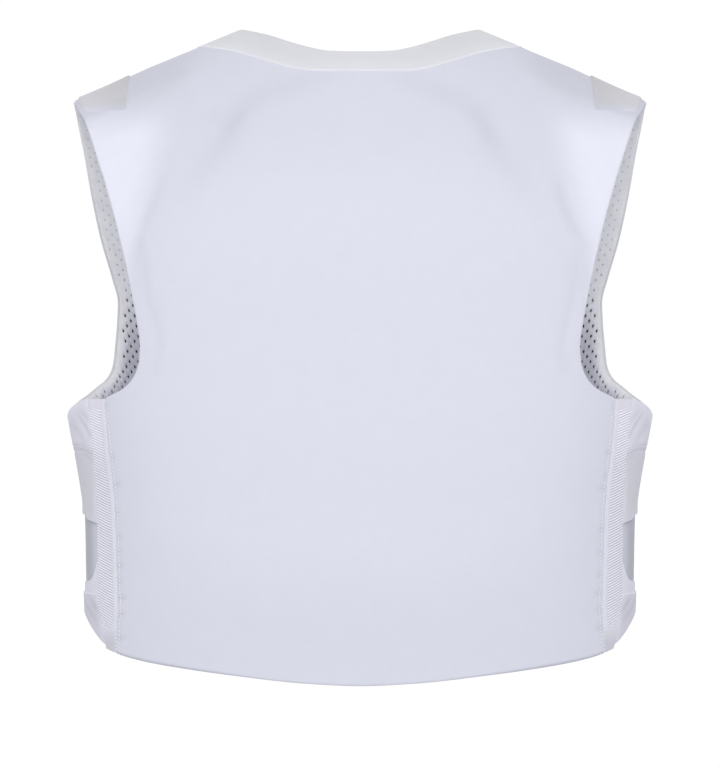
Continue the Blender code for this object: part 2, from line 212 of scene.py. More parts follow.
# Side wings and straps: heights by angle from the side to the elastic
WING_FRONT_ANGLE = -48.0
WING_BACK_ANGLE = 28.0
WING_TOP = (
    (-48.0, -0.2620), (-5.0, -0.2615), (5.0, -0.2590), (12.0, -0.2550), (20.0, -0.2500),
    (26.0, -0.2462), (32.0, -0.2440),
)
WING_STITCH = (
    (-48.0, -0.2880), (0.0, -0.2860), (14.5, -0.2840), (21.5, -0.2838), (24.8, -0.2855),
    (28.1, -0.2880), (32.0, -0.2890),
)
STRAP_BOTTOM = (
    (-48.0, -0.3340), (0.0, -0.3336), (10.0, -0.3338), (14.5, -0.3345), (18.0, -0.3375),
    (23.7, -0.3392), (26.0, -0.3405), (32.0, -0.3430),
)
LOWER_WING_TOP = (
    (-48.0, -0.3880), (10.0, -0.3860), (18.0, -0.3840), (20.5, -0.3815), (22.5, -0.3765),
    (25.6, -0.3655), (28.0, -0.3580), (32.0, -0.3550),
)
STRAP_UNDER_WING = 0.0040
SIDE_COLUMNS = 90
SIDE_RELIEF_FADE = (0.0002, 0.0012)
LOWER_STITCH = -0.3945
TAB_STEP = (LOWER_STITCH - 0.0004, LOWER_STITCH + 0.0008)
TAB_INSET = 0.0014
TAB_TONE = 0.06

# Seam lines of the upper wing, from its lower edge, with painted shade in them, and how edges sink: edge,
# depth and width
WING_GROOVES = (0.0016, 0.0040)
GROOVE_WIDTH = 0.0007
GROOVE_DEPTH = 0.0005
GROOVE_TONE = 0.12
SINK_START = 0.4
WING_SINK = ("low", 0.0006, 0.0014)
STRAP_SINK = ("high", 0.0015, 0.0060)
TUCK_SINK = ("last", TUCK_DEPTH, TUCK_WIDTH)

# Painted shade on the front panel between the strap and the lower wing, and painted shade and painted light
# on the armholes' rims, lighter near the shoulder tips
RECESS = (-0.3860, -0.3370)
RECESS_FADE = 0.004
RECESS_ANGLES = (16.0, 25.0)
RECESS_START = (-40.0, -10.0)
RECESS_TONES = (0.67, 1.00)
RIM_TONE = -0.04
RIM_TONE_REACH = (0.003, 0.005)
TIP_RIM_PAINTED_LIGHT = 0.24
TIP_RIM_HEIGHTS = (-0.100, -0.040)

# Shoulder strap, from the front over the ridge to the back, and how its edges sink
SHOULDER_STRAP_INNER = 0.178
SHOULDER_STRAP_BACK_END = -0.0265
SHOULDER_STRAP_FRONT_END = -0.0450
SHOULDER_STRAP_ROWS = 16
SHOULDER_STRAP_STEPS = {-1: 60, 1: 40}
SHOULDER_STRAP_THICKNESS = 0.0014
SHOULDER_STRAP_INSET = 0.0004
SHOULDER_STRAP_LIFT = 0.0014
SHOULDER_STRAP_SINK = 0.0020
SHOULDER_STRAP_SINKS = (("last", 0.0060), ("high", 0.0020), ("low", 0.0030))
SHOULDER_SINK_START = 0.3
SHOULDER_STRAP_FADE = (0.002, 0.016)
SHOULDER_STRAP_END_TONE = 0.07
SHOULDER_STRAP_END_REACH = 0.020
SHOULDER_TIP_REACH = 0.042
SHOULDER_TIP_TONE = 0.06

# Air mesh of the lining: holes below, which become shallow dimples in the upper part, with painted shade on
# the holes' walls and the dimples' floors and on the mesh towards its bottom
MESH_PITCH_ACROSS = 0.00415
MESH_PITCH_UP = 0.0083
CELL_CORNERS = ((-1, -1), (1, -1), (1, 0), (1, 1), (-1, 1), (-1, 0))
HOLE_ANGLES = (-120, -60, 0, 60, 120, 180)
HOLE_HALF_WIDTH = 0.00112
HOLE_HALF_HEIGHT = 0.00150
HOLE_DEPTH = 0.0014
HOLE_TONE = 0.45
HOLE_MARGIN = 0.0012
SMALL_HOLE = 0.95
DIMPLE_DEPTH = 0.0002
DIMPLE_FLOOR = 0.60
DIMPLE_TONES = (0.36, 0.76)
DIMPLE_HEIGHTS = (-0.175, -0.115)
SKIRT_TONE = 0.86
LINING_MARGIN = 0.0004
BINDING = 0.0015
MESH_SHADE_HEIGHTS = (-0.220, -0.140)
MESH_SHADE_REACH = (0.001, 0.009)
BACKING_HEIGHTS = (-0.185, -0.145)
MERGE_DISTANCE = 0.00002
SMALLEST_EDGE = 0.00001

# Laying the mesh flat: an arc across and a line up the form, and how finely they are read
LINING_ARC_HEIGHT = -0.20
LINING_ARC_TURN = -60.0
LINING_TURNS = (-90, 40, 400)
LINING_HEIGHTS = (HEM_LOW - 0.02, NECK_SIDE_HEIGHT + 0.01, 600)
OUTLINE_COLUMNS = 161
OUTLINE_ROWS = 241
LINING_COLUMNS = 201
COLUMN_PASSES = 48
COLUMN_LIMIT = 1.1
STRETCH_STEP = 0.0005
STRETCH_LIMITS = (0.3, 3)

# Folds, each a row of depth, width, tone and one path or more, given in x and z; the tone is painted shade,
# or painted light where it is below 0.
# These are the edge of the pad inside the back panel, and creases of its cloth.
FOLD_ENDS = 0.03
BACK_FOLDS = (
    (0.0011, 0.0100, 0.050,
     ((0.0240, 0.0040), (0.0436, -0.0023), (0.0702, -0.0098), (0.0861, -0.0198), (0.0958, -0.0322),
      (0.1002, -0.0501), (0.1144, -0.0638), (0.1219, -0.0745), (0.1294, -0.0866)),
     ((-0.0260, 0.0035), (-0.0557, -0.0090), (-0.0808, -0.0199), (-0.0928, -0.0307),
      (-0.1009, -0.0547), (-0.1151, -0.0730), (-0.1255, -0.0912))),
    (0.0006, 0.0070, 0.020, ((0.0966, -0.0322), (0.1119, -0.0296), (0.1241, -0.0357))),
    (0.0010, 0.0045, 0.040,
     ((0.1780, -0.0200), (0.1635, -0.0139), (0.1559, -0.0093), (0.1406, -0.0024), (0.1329, 0.0006)),
     ((-0.1760, -0.0180), (-0.1637, -0.0106), (-0.1521, -0.0061), (-0.1383, -0.0017))),
    (0.0016, 0.0045, 0.060,
     ((0.1500, -0.0760), (0.1560, -0.0939), (0.1613, -0.1061), (0.1658, -0.1182), (0.1735, -0.1410)),
     ((-0.1490, -0.0770), (-0.1552, -0.1001), (-0.1620, -0.1137), (-0.1743, -0.1302),
      (-0.1797, -0.1362))),
    (0.0010, 0.0055, 0.035,
     ((0.0860, -0.0240), (0.0945, -0.0330), (0.1020, -0.0420), (0.1114, -0.0508)),
     ((-0.0850, -0.0240), (-0.0930, -0.0350), (-0.1000, -0.0460), (-0.1080, -0.0540))),
    (0.0010, 0.0045, 0.028,
     ((0.1652, -0.1286), (0.1603, -0.1699), (0.1517, -0.2000), (0.1513, -0.2112),
      (0.1558, -0.2262), (0.1611, -0.2338)),
     ((-0.1660, -0.1310), (-0.1600, -0.1720), (-0.1530, -0.2010), (-0.1525, -0.2130),
      (-0.1580, -0.2290))),
    (0.0008, 0.0060, 0.030,
     ((0.1658, -0.1242), (0.1704, -0.1408), (0.1696, -0.1620)),
     ((-0.1666, -0.1242), (-0.1727, -0.1408), (-0.1727, -0.1620))),
    (0.0005, 0.0028, 0.020,
     ((0.1684, -0.0536), (0.1758, -0.0690), (0.1817, -0.0828)),
     ((-0.1691, -0.0552), (-0.1765, -0.0690), (-0.1856, -0.0858))),
    (0.0004, 0.0025, 0.015,
     ((0.1921, -0.0436), (0.1844, -0.0398), (0.1766, -0.0369)),
     ((-0.1758, -0.0377), (-0.1851, -0.0406), (-0.1928, -0.0451))),
    (0.0005, 0.0040, 0.015,
     ((0.1620, -0.2111), (0.1566, -0.2190), (0.1504, -0.2280)),
     ((-0.1620, -0.2120), (-0.1560, -0.2200), (-0.1490, -0.2290))),
)

# Soft folds of the plain front, with painted shade in them, given for the left half and mirrored
FRONT_FOLDS = (
    (0.0012, 0.0110, 0.020, ((0.112, -0.050), (0.124, -0.100), (0.134, -0.150), (0.150, -0.198))),
    (0.0010, 0.0070, 0.015, ((0.150, -0.296), (0.118, -0.286), (0.086, -0.282))),
    (0.0008, 0.0070, 0.015, ((0.150, -0.402), (0.122, -0.410), (0.088, -0.408))),
    (0.0008, 0.0120, 0.010, ((0.168, -0.236), (0.140, -0.252), (0.106, -0.256))),
    (0.0008, 0.0090, 0.015, ((-0.020, -0.437), (0.050, -0.434), (0.120, -0.424))),
)

# Creases of the side pieces, with paths by turn and height, and the length of a degree there; their tone is
# painted shade, or painted light where it is below 0
DEGREE = 0.0024
UPPER_WING_FOLDS = (
    (0.0014, 0.0024, 0.07, ((22.0, -0.2560), (23.5, -0.2591), (26.6, -0.2682), (28.8, -0.2766))),
    (0.0010, 0.0018, 0.05, ((24.5, -0.2530), (25.9, -0.2560), (29.0, -0.2621), (30.0, -0.2650))),
    (0.0010, 0.0040, 0.03, ((14.0, -0.2660), (19.0, -0.2700), (23.5, -0.2790))),
    (0.0002, 0.0070, -0.11, ((-48.0, -0.2580), (10.0, -0.2560), (20.0, -0.2510), (31.0, -0.2450))),
    (0.0007, 0.0040, 0.03, ((2.0, -0.2620), (-10.0, -0.2700), (-24.0, -0.2760))),
)
LOWER_WING_FOLDS = (
    (0.0014, 0.0035, 0.12, ((17.5, -0.3975), (21.0, -0.4030), (25.3, -0.4079))),
    (0.0012, 0.0040, 0.10, ((10.0, -0.4000), (18.9, -0.4100), (25.0, -0.4160))),
    (0.0003, 0.0060, 0.08, ((-48.0, -0.4130), (12.0, -0.4150), (24.0, -0.4250), (30.0, -0.4330))),
    (0.0000, 0.0350, 0.08, ((-60.0, -0.4150), (40.0, -0.4150))),
    (0.0008, 0.0050, 0.03, ((2.0, -0.3980), (-10.0, -0.4030), (-26.0, -0.4050))),
)
STRAP_FOLDS = (
    (0.0007, 0.0028, 0.05, ((21.0, -0.2870), (24.4, -0.2890), (28.1, -0.2934))),
    (0.0005, 0.0020, -0.05, ((26.2, -0.3080), (25.0, -0.3250), (23.7, -0.3389))),
    (0.0000, 0.0060, -0.06, ((28.6, -0.2960), (27.0, -0.3200), (26.2, -0.3420))),
    (0.0000, 0.0012, -0.10, ((-48.0, -0.3345), (10.0, -0.3332), (18.0, -0.3369), (26.0, -0.3399))),
    (0.0004, 0.0050, 0.02, ((24.0, -0.3300), (12.0, -0.3240), (-2.0, -0.3220))),
)

# Puckers that run in from the side seams, with painted shade in them, by side: height, length and depth
PUCKERS = {
    1: (
        (-0.2892, 0.010, 0.00045), (-0.3106, 0.014, 0.00060), (-0.3302, 0.008, 0.00035),
        (-0.3502, 0.012, 0.00050), (-0.3602, 0.010, 0.00045), (-0.3723, 0.013, 0.00055),
        (-0.3845, 0.010, 0.00045), (-0.3968, 0.014, 0.00060), (-0.4091, 0.012, 0.00055),
        (-0.4275, 0.014, 0.00055),
    ),
    -1: (
        (-0.2860, 0.012, 0.00050), (-0.3040, 0.010, 0.00045), (-0.3130, 0.014, 0.00060),
        (-0.3440, 0.010, 0.00040), (-0.3620, 0.012, 0.00050), (-0.3790, 0.012, 0.00050),
        (-0.3930, 0.014, 0.00060), (-0.4060, 0.012, 0.00050), (-0.4200, 0.014, 0.00060),
    ),
}
PUCKER_WIDTH = 0.0022
PUCKER_LEAN = 0.10
PUCKER_START = (0.0015, 0.0035)
PUCKER_FADE = 0.4
PUCKER_TONE = 0.09

# Side seams of the back panel: rows of stitches, and the groove between them with painted shade in it
SEAM_ROWS = (0.0020, 0.0048)
SEAM_PLACE = 0.0028
SEAM_WIDTH = 0.0008
SEAM_DEPTH = 0.0004
SEAM_TONE = 0.05
SEAM_TONE_WIDTH = 0.0030
RELIEF_FADE = (0.0005, 0.0030)

# Painted light on the cloth where it lies in one layer beside the armholes, painted shade along the shoulder
# ridge, painted light over the pad inside up to its outline, and painted shade along the hem
BLADE_PAINTED_LIGHT = 0.195
BLADE_START = 0.154
BLADE_LEAN = 0.25
BLADE_MIDDLE = -0.12
BLADE_FADE = 0.036
BLADE_BOTTOM = (-0.225, -0.165)
BLADE_TOP = (-0.050, -0.015)
RIDGE_SHADE = 0.085
RIDGE_SHADE_REACH = (0.019, 0.028)
RIDGE_SHADE_X = (0.112, 0.148)
PAD_REACH = (0.195, 0.175)
PAD_MIDDLE = -0.225
PAD_POWER = 3
PAD_FADE = (0.72, 1.10)
PAD_PAINTED_LIGHT = 0.035
PAD_RISE = 0.0006
HEM_TONES = (-0.05, 0.20)
HEM_REACHES = (0.0016, 0.0036)
HEM_SHADE_START = 0.0006
HEM_SHADE_X = (0.050, 0.150)

# Stitches: each is a run of rings, with place along it, lift and girth
STITCH_PITCH = 0.0030
STITCH_LENGTH = 0.0025
STITCH_RADIUS = 0.00034
STITCH_SIDES = 5
STITCH_RINGS = ((-0.50, -1.6, 0.6), (-0.32, 0.2, 1.0), (0.0, 0.7, 1.0), (0.32, 0.2, 1.0), (0.50, -1.6, 0.6))
FRONT_STITCH_INSET = 0.0055

# Camera and floor
CAMERA_PLACE = (0, 3.2, -0.233)
CAMERA_LENS = 192.3
CAMERA_SENSOR = 36.0
FLOOR_HEIGHT = -1.35
FLOOR_HALF_SIZE = 5.0
FLOOR_ROUGHNESS = 0.9

# Studio lights: name, place, size and power
LIGHTS = (
    ("left softbox", (2.4, 2.4, 0.8), 1.2, 9.0),
    ("right softbox", (-2.4, 2.4, 0.8), 1.2, 9.0),
    ("camera softbox", (0.0, 3.4, 0.45), 1.2, 47.0),
)
LIGHT_TARGET = (0.0, 0.0, -0.15)

# Surroundings: share of the way from straight down to straight up, and brightness
WORLD_STOPS = ((0.00, 0.03), (0.44, 1.02), (0.60, 1.02), (1.00, 0.80))
WORLD_BEHIND = 0.36
WORLD_TURN = (-0.10, 0.75)

# Colours
WHITE_CLOTH = (0.720, 0.732, 0.836)
BAND_CLOTH = (0.760, 0.767, 0.810)
INNER_CLOTH = (0.880, 0.880, 0.930)
ELASTIC_CLOTH = (0.810, 0.805, 0.905)
STRAP_CLOTH = (0.690, 0.695, 0.770)
WING_CLOTH = (0.755, 0.755, 0.860)
MESH_CLOTH = (0.950, 0.955, 0.995)
MESH_SHADE_CLOTH = (0.590, 0.595, 0.670)
BINDING_CLOTH = (0.740, 0.745, 0.790)
# Painted shadow seen through the mesh's holes
HOLE_SHADOW_CLOTH = (0.050, 0.055, 0.080)
SHOULDER_CLOTH = (0.660, 0.660, 0.705)
THREAD = (0.900, 0.905, 0.950)
FLOOR_COLOUR = (0.60, 0.60, 0.61)

# Woven cloth: width of a thread, and what all the cloths share
FINE_THREAD = 0.00045
WAVES_PER_SCALE = 20
THREAD_WAVE = {"Distortion": 0.6, "Detail": 1.0, "Detail Scale": 1.5}
SLUB_NOISE = {"Scale": 1.0, "Detail": 3.0}
SLUB_STRETCHES = ((900.0, 40.0, 1.0), (40.0, 900.0, 1.0), (60.0, 60.0, 1.0))
SLUB_SPAN = {"From Min": 0.8, "From Max": 2.2}
CLOTH_LOOK = {"Roughness": 0.85, "Metallic": 0.0, "Specular IOR Level": 0.25, "Sheen Roughness": 0.45}


def smooth(x, xs, ys):
    """A cubic curve through the points (xs, ys), with no overshoot, read at x."""
    steps = np.diff(xs)
    rises = np.diff(ys) / steps
    slopes = np.zeros(len(xs))
    for k in range(1, len(xs) - 1):
        if rises[k - 1] * rises[k] > 0:
            slopes[k] = 2 * rises[k - 1] * rises[k] / (rises[k - 1] + rises[k])
    i = np.clip(np.searchsorted(xs, x) - 1, 0, len(xs) - 2)
    t = np.clip((x - xs[i]) / steps[i], 0, 1)
    start = ys[i] * (1 + 2 * t) + slopes[i] * steps[i] * t
    end = ys[i + 1] * (3 - 2 * t) - slopes[i + 1] * steps[i] * (1 - t)
    return start * (1 - t) ** 2 + end * t ** 2


def table_curve(table, columns, name, x):
    """A named column of a table, read as a smooth curve over its first column."""
    rows = np.array(table)
    return smooth(x, rows[:, 0], rows[:, columns.index(name)])


def torso(height, name):
    """Half width or depth of the torso form at a height."""
    return table_curve(TORSO, TORSO_COLUMNS, name, height)


def hem(angle):
    """Height of the hem at an angle from the side."""
    return table_curve(HEM, HEM_COLUMNS, "height", np.abs(angle))


def edge_angle(table, height):
    """Angle of a panel's edge, or of the elastic's, at a height."""
    return table_curve(table, EDGE_COLUMNS, "angle", height)


def edge_curve(table, shift=0.0):
    """Height by angle of one of the side pieces' edges."""
    return lambda angle: table_curve(table, HEM_COLUMNS, "height", angle) + shift


def neck(x, name):
    """Height of one of the neck band's edges at x on its outer edge."""
    return table_curve(NECK, NECK_COLUMNS, name, np.abs(x))


def ramp(value, low, high):
    """0 below low, 1 above high, and a smooth curve between."""
    t = np.clip((value - low) / (high - low), 0, 1)
    return t * t * (3 - 2 * t)


def bump(value, width):
    """A rounded bump of height 1 round 0."""
    return np.exp(-(value / width) ** 2)


def unit(vectors):
    """Vectors scaled to length 1."""
    return vectors / np.maximum(np.linalg.norm(vectors, axis=-1, keepdims=True), 1e-12)


def lengths_along(path):
    """How far along a path each of its points is."""
    return np.concatenate(((0,), np.cumsum(np.linalg.norm(np.diff(path, axis=0), axis=1))))


def read_along(at, stations, vectors):
    """A vector read between stations that have a vector each."""
    return np.array([np.interp(at, stations, vectors[:, k]) for k in range(3)])


def ridge(x):
    """Height of the shoulder ridge, pressed down a little under the shoulder strap."""
    slope = SHOULDER_SLOPE * (np.abs(x) - NECK_HALF_WIDTH)
    return NECK_SIDE_HEIGHT - slope - STRAP_SEAT * ramp(np.abs(x), *STRAP_SEAT_X)


def closing(x, height):
    """Share of the form's depth that is left near the shoulder ridge."""
    share = (height - SHOULDER_START) / (ridge(x) - SHOULDER_START)
    return np.sqrt(1 - np.clip(share, 0, 1) ** SHOULDER_POWER)


def form_point(turn, height):
    """Point of the torso form."""
    turn = np.radians(turn)
    reach = np.abs(np.cos(turn)) ** SECTION_POWER + np.abs(np.sin(turn)) ** SECTION_POWER
    reach = reach ** (-1 / SECTION_POWER)
    x = torso(height, "half_width") * reach * np.cos(turn)
    deep = np.where(np.sin(turn) > 0, torso(height, "back"), torso(height, "front"))
    y = deep * reach * np.sin(turn) * closing(x, height)
    return np.stack(np.broadcast_arrays(x, y, height), axis=-1)


def form_normal(turn, height):
    """Outward unit normal of the form, read just under the point for the ridge's sake."""
    below = height - RIDGE_STEP
    along = form_point(turn + TURN_STEP, below) - form_point(turn - TURN_STEP, below)
    up = form_point(turn, below + HEIGHT_STEP) - form_point(turn, below - HEIGHT_STEP)
    return unit(np.cross(along, up))


def on_form(parts):
    """Points and normals of a grid on the form, from the turns and heights of its parts."""
    points = [form_point(turns, heights) for turns, heights in parts]
    normals = [form_normal(turns, heights) for turns, heights in parts]
    return np.concatenate(points, axis=1), np.concatenate(normals, axis=1)


def turn_at_x(x, height, side):
    """Turn of the form's back (side 1) or front (side -1) at a given x."""
    share = np.clip(x / torso(height, "half_width"), -1, 1)
    deep = (1 - np.abs(share) ** SECTION_POWER) ** (1 / SECTION_POWER)
    return np.degrees(np.arctan2(side * deep, share))


def top_edge(x, side):
    """Height of a panel's top edge: neck opening inside, shoulder ridge outside."""
    neck_height = neck(x, "back_outer" if side > 0 else "front_outer")
    return np.where(np.abs(x) < NECK_HALF_WIDTH, neck_height, ridge(x))


def panel_tables(side):
    """Edge and flow tables of the back (side 1) or front (side -1) panel."""
    return (BACK_EDGE, BACK_FLOW) if side > 0 else (FRONT_EDGE, FRONT_FLOW)


def panel_turn(side, columns, height):
    """Turn of a panel's column, from -1 to 1, at a height."""
    table, flow = panel_tables(side)
    broad = edge_angle(flow, height)
    near_edge = np.abs(columns) ** FLOW_POWER * (broad - edge_angle(table, height))
    return 90 * side + columns * (90 - broad + near_edge)


def panel_ends(side, columns):
    """Heights of the hem and of the top edge for a panel's columns."""
    low = np.full(len(columns), HEM_LOW)
    high = np.zeros(len(columns))
    for _ in range(EDGE_PASSES):
        low = hem(90 - np.abs(90 * side - panel_turn(side, columns, low)))
        high = top_edge(form_point(panel_turn(side, columns, high), high)[:, 0], side)
    return low, high


def panel_columns(side):
    """Columns of a panel's grid, close together at both rims and at the neck's corners."""
    table, _ = panel_tables(side)
    corner = turn_at_x(NECK_HALF_WIDTH, NECK_SIDE_HEIGHT, side)
    neck_column = (90 - np.abs(corner)) / (90 - edge_angle(table, NECK_SIDE_HEIGHT))
    counts = PANEL_GRIDS[side]
    inner = neck_column * np.sin(np.linspace(-np.pi / 2, np.pi / 2, counts["neck"] + 1))
    rim = 1 - np.array(RIM_STEPS)[::-1] / PANEL_HALF_SPAN
    outer = np.concatenate((np.linspace(neck_column, rim[0], counts["shoulder"] + 1)[1:-1], rim))
    return np.concatenate((-outer[::-1], inner, outer))


def panel_rows(side):
    """Row shares of a panel's grid, from the hem, close together at the rims and the ridge."""
    counts = PANEL_GRIDS[side]
    rim = np.array(RIM_STEPS) / PANEL_HEIGHT
    seam = (SEAM_TOP - HEM_LOW) / PANEL_HEIGHT
    top = 1 - RIDGE_DEPTH / PANEL_HEIGHT
    low = np.linspace(rim[-1], seam, counts["low"] + 1)[1:]
    high = np.linspace(seam, top, counts["high"] + 1)[1:]
    steps = np.linspace(1, 0, RIDGE_ROWS + 1)[1:]
    return np.concatenate((rim, low, high, 1 - (1 - top) * steps ** 2))


def panel_crown(columns, shares):
    """How far the padding fills a panel: 1 inside, 0 at its edges."""
    across = 1 - np.abs(columns) ** CROWN_POWER_ACROSS
    return (1 - np.abs(2 * shares - 1) ** CROWN_POWER_UP) * across


def front_inset(turns, heights):
    """How deep the front panel lies: under the wings, and more under the elastic."""
    under_wings = np.clip((SHOULDER_START - heights) / INSET_FADE, 0, 1)
    past_side = np.abs(turns + 90) - 90
    under_elastic = np.clip((past_side - ELASTIC_INSET_START) / ELASTIC_INSET_FADE, 0, 1)
    return FRONT_INSET * under_wings + ELASTIC_INSET * under_elastic


def edge_views(grid):
    """The grid seen from each of its edges, so that the edge is the first column."""
    flipped = np.swapaxes(grid, 0, 1)
    return {"first": grid, "last": grid[:, ::-1], "low": flipped, "high": flipped[:, ::-1]}


def nearest_on_path(points, path):
    """The nearest point of a path to each point, and how far off it is."""
    best = np.full(len(points), np.inf)
    found = points.copy()
    for start, end in zip(path[:-1], path[1:]):
        step = end - start
        size = max(float(step @ step), 1e-18)
        t = np.clip((points - start) @ step / size, 0, 1)
        place = start + t[:, None] * step
        distance = np.linalg.norm(points - place, axis=1)
        closer = distance < best
        best[closer] = distance[closer]
        found[closer] = place[closer]
    return found, best


def from_edge(sheet):
    """Distance of a grid's points from its first column, exact within EDGE_REACH."""
    points = sheet.reshape(-1, 3)
    edge = sheet[:, 0]
    distance = np.full(len(points), np.inf)
    for corner in edge[::EDGE_STRIDE]:
        distance = np.minimum(distance, np.linalg.norm(points - corner, axis=1))
    near = distance < EDGE_REACH
    distance[near] = nearest_on_path(points[near], edge)[1]
    return distance.reshape(sheet.shape[:2])


def rim_distance(sheet, edges=ALL_EDGES):
    """Distance of a grid's points from the nearest of its edges."""
    found = np.full(sheet.shape[:2], np.inf)
    views = edge_views(found)
    for edge in edges:
        np.minimum(views[edge], from_edge(edge_views(sheet)[edge]), out=views[edge])
    return found


def layer(sheet, normals, outside, inside, radius, edges=ALL_EDGES):
    """Outer and inner grids of a layer, drawn together at their rims so that these are round."""
    outer = sheet + normals * np.broadcast_to(outside, sheet.shape[:2])[..., None]
    inner = sheet + normals * np.broadcast_to(inside, sheet.shape[:2])[..., None]
    middle = (outer + inner) / 2
    half = (outer - inner) / 2
    share = np.clip(rim_distance(middle, edges) / radius, 0, 1)
    profile = np.sqrt(1 - (1 - share) ** 2)[..., None]
    return middle + half * profile, middle - half * profile


def mirrored(grid):
    """The same grid on the wearer's right, still running anticlockwise."""
    if grid.ndim == 3:
        grid = grid * (-1, 1, 1)
    return grid[:, ::-1]


def grid_normals(sheet):
    """Unit normals of a grid, read from its own points."""
    return unit(np.cross(np.gradient(sheet, axis=1), np.gradient(sheet, axis=0)))


def grid_uv(sheet):
    """Width and length along a grid, in metres, for the weave."""
    across = np.linalg.norm(np.diff(sheet, axis=1), axis=2)
    across = np.concatenate((np.zeros((len(sheet), 1)), np.cumsum(across, axis=1)), axis=1)
    across -= across[:, [across.shape[1] // 2]]
    up = np.linalg.norm(np.diff(sheet, axis=0), axis=2)
    up = np.concatenate((np.zeros((1, sheet.shape[1])), np.cumsum(up, axis=0)), axis=0)
    return np.stack((across, up), axis=-1)


def place_object(name, data):
    """A new object of the scene."""
    placed = bpy.data.objects.new(name, data)
    bpy.context.scene.collection.objects.link(placed)
    return placed


def add_mesh(name, points, faces, materials, indices=None, uv=None, marks=None):
    """A smooth mesh object with its UV map and the marks that its material reads."""
    mesh = bpy.data.meshes.new(name)
    mesh.from_pydata(points.tolist(), [], faces)
    mesh.shade_smooth()
    for material in materials:
        mesh.materials.append(material)
    if indices is not None:
        mesh.polygons.foreach_set("material_index", indices)
    if uv is not None:
        corners = np.zeros(len(mesh.loops), dtype=np.int32)
        mesh.loops.foreach_get("vertex_index", corners)
        uv_map = mesh.uv_layers.new(name="weave")
        uv_map.data.foreach_set("uv", uv[corners].astype(np.float32).ravel())
    marks = dict(marks or {})
    marks.setdefault("tone", np.ones(len(points)))
    for mark, values in marks.items():
        attribute = mesh.attributes.new(mark, "FLOAT", "POINT")
        attribute.data.foreach_set("value", values.astype(np.float32))
    mesh.update()
    return place_object(name, mesh)


def body_mesh(name, outer, inner, materials, tone, ring=False, plain=None, fade=None):
    """Closed cloth body between two grids that meet at their rims.

    The first material is outside and the second inside.  Where plain is true, the
    inside has the first too, or the third is on both faces.
    """
    rows, columns = outer.shape[:2]
    top = np.arange(rows * columns).reshape(rows, columns)
    rim = np.zeros((rows, columns), dtype=bool)
    rim[[0, -1], :] = True
    if not ring:
        rim[:, [0, -1]] = True
    under = top.copy()
    under[~rim] = rows * columns + np.arange(np.count_nonzero(~rim))
    if ring:
        top = np.concatenate((top, top[:, :1]), axis=1)
        under = np.concatenate((under, under[:, :1]), axis=1)
    quads = []
    for grid in (top, under):
        corners = (grid[:-1, :-1], grid[:-1, 1:], grid[1:, 1:], grid[1:, :-1])
        quads.append(np.stack(corners, axis=-1).reshape(-1, 4))
    count = len(quads[0])
    faces = np.concatenate((quads[0], quads[1][:, ::-1])).tolist()
    indices = np.repeat((0, min(len(materials) - 1, 1)), count).astype(np.int32)
    if plain is not None:
        kept = (plain[:-1, :-1] | plain[1:, 1:]).ravel()
        indices[count:][kept] = 0
        if len(materials) > 2:
            indices[np.tile(kept, 2)] = 2
    points = np.concatenate((outer.reshape(-1, 3), inner[~rim]))
    uv = grid_uv((outer + inner) / 2)
    uv = np.concatenate((uv.reshape(-1, 2), uv[~rim]))
    marks = {"tone": np.concatenate((tone.ravel(), tone[~rim]))}
    if fade is not None:
        marks["fade"] = np.concatenate((fade.ravel(), fade[~rim]))
    return add_mesh(name, points, faces, materials, indices, uv, marks)


def dress(piece, slot, *nodes):
    """Puts a piece on the vest's body, in the place of its CAD nodes."""
    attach(piece, "root")
    if nodes:
        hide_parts(*nodes)


def make_pair(name, node, slot, material, body, sheet, tone, fade=None):
    """A layer's outer and inner grids made into a piece on the left and its mirror image."""
    for label in ("left", "right"):
        grids = [*body, sheet, tone, fade]
        if label == "right":
            grids = [None if grid is None else mirrored(grid) for grid in grids]
        piece = body_mesh(f"{name}_{label}", grids[0], grids[1], [material], grids[3], fade=grids[4])
        dress(piece, slot, f"{node}_{label}")


def rail(sheet, inset, edge):
    """Points and normals of a grid at a distance from one of its edges."""
    view = edge_views(sheet)[edge]
    spans = np.maximum.accumulate(from_edge(view), axis=1)
    path = [read_along(inset, *row) for row in zip(spans, view)]
    up = [read_along(inset, *row) for row in zip(spans, edge_views(grid_normals(sheet))[edge])]
    return np.array(path), unit(np.array(up))


def level_rail(sheet, level):
    """Points and normals of a grid where its columns cross a height."""
    columns = range(sheet.shape[1])
    normals = grid_normals(sheet)
    path = [read_along(level, sheet[:, j, 2], sheet[:, j]) for j in columns]
    up = [read_along(level, sheet[:, j, 2], normals[:, j]) for j in columns]
    return np.array(path), unit(np.array(up))


def make_stitches(name, runs, material):
    """Threads lying in rows, one body for all the runs of points and normals."""
    angles = np.linspace(0, 2 * np.pi, STITCH_SIDES, endpoint=False)
    span = (len(STITCH_RINGS) - 1) * STITCH_SIDES
    points = []
    faces = []
    for path, normals in runs:
        along = lengths_along(path)
        for centre in np.arange(STITCH_PITCH / 2, along[-1] - STITCH_PITCH / 2, STITCH_PITCH):
            first = len(points)
            up = unit(read_along(centre, along, normals))
            for offset, lift, girth in STITCH_RINGS:
                at = centre + offset * STITCH_LENGTH
                middle = read_along(at, along, path)
                ahead = read_along(at + STITCH_RADIUS, along, path)
                side = unit(np.cross(up, unit(ahead - middle)))
                middle = middle + up * lift * STITCH_RADIUS
                for angle in angles:
                    spread = side * np.cos(angle) + up * np.sin(angle)
                    points.append(middle + spread * girth * STITCH_RADIUS)
            for low in range(first, first + span, STITCH_SIDES):
                high = low + STITCH_SIDES
                for k in range(STITCH_SIDES):
                    after = (k + 1) % STITCH_SIDES
                    faces.append((low + k, high + k, high + after, low + after))
            faces.append(tuple(range(first, first + STITCH_SIDES)))
            faces.append(tuple(range(first + span, first + span + STITCH_SIDES))[::-1])
    dress(add_mesh(name, np.array(points), faces, [material]), "carrier_cloth")


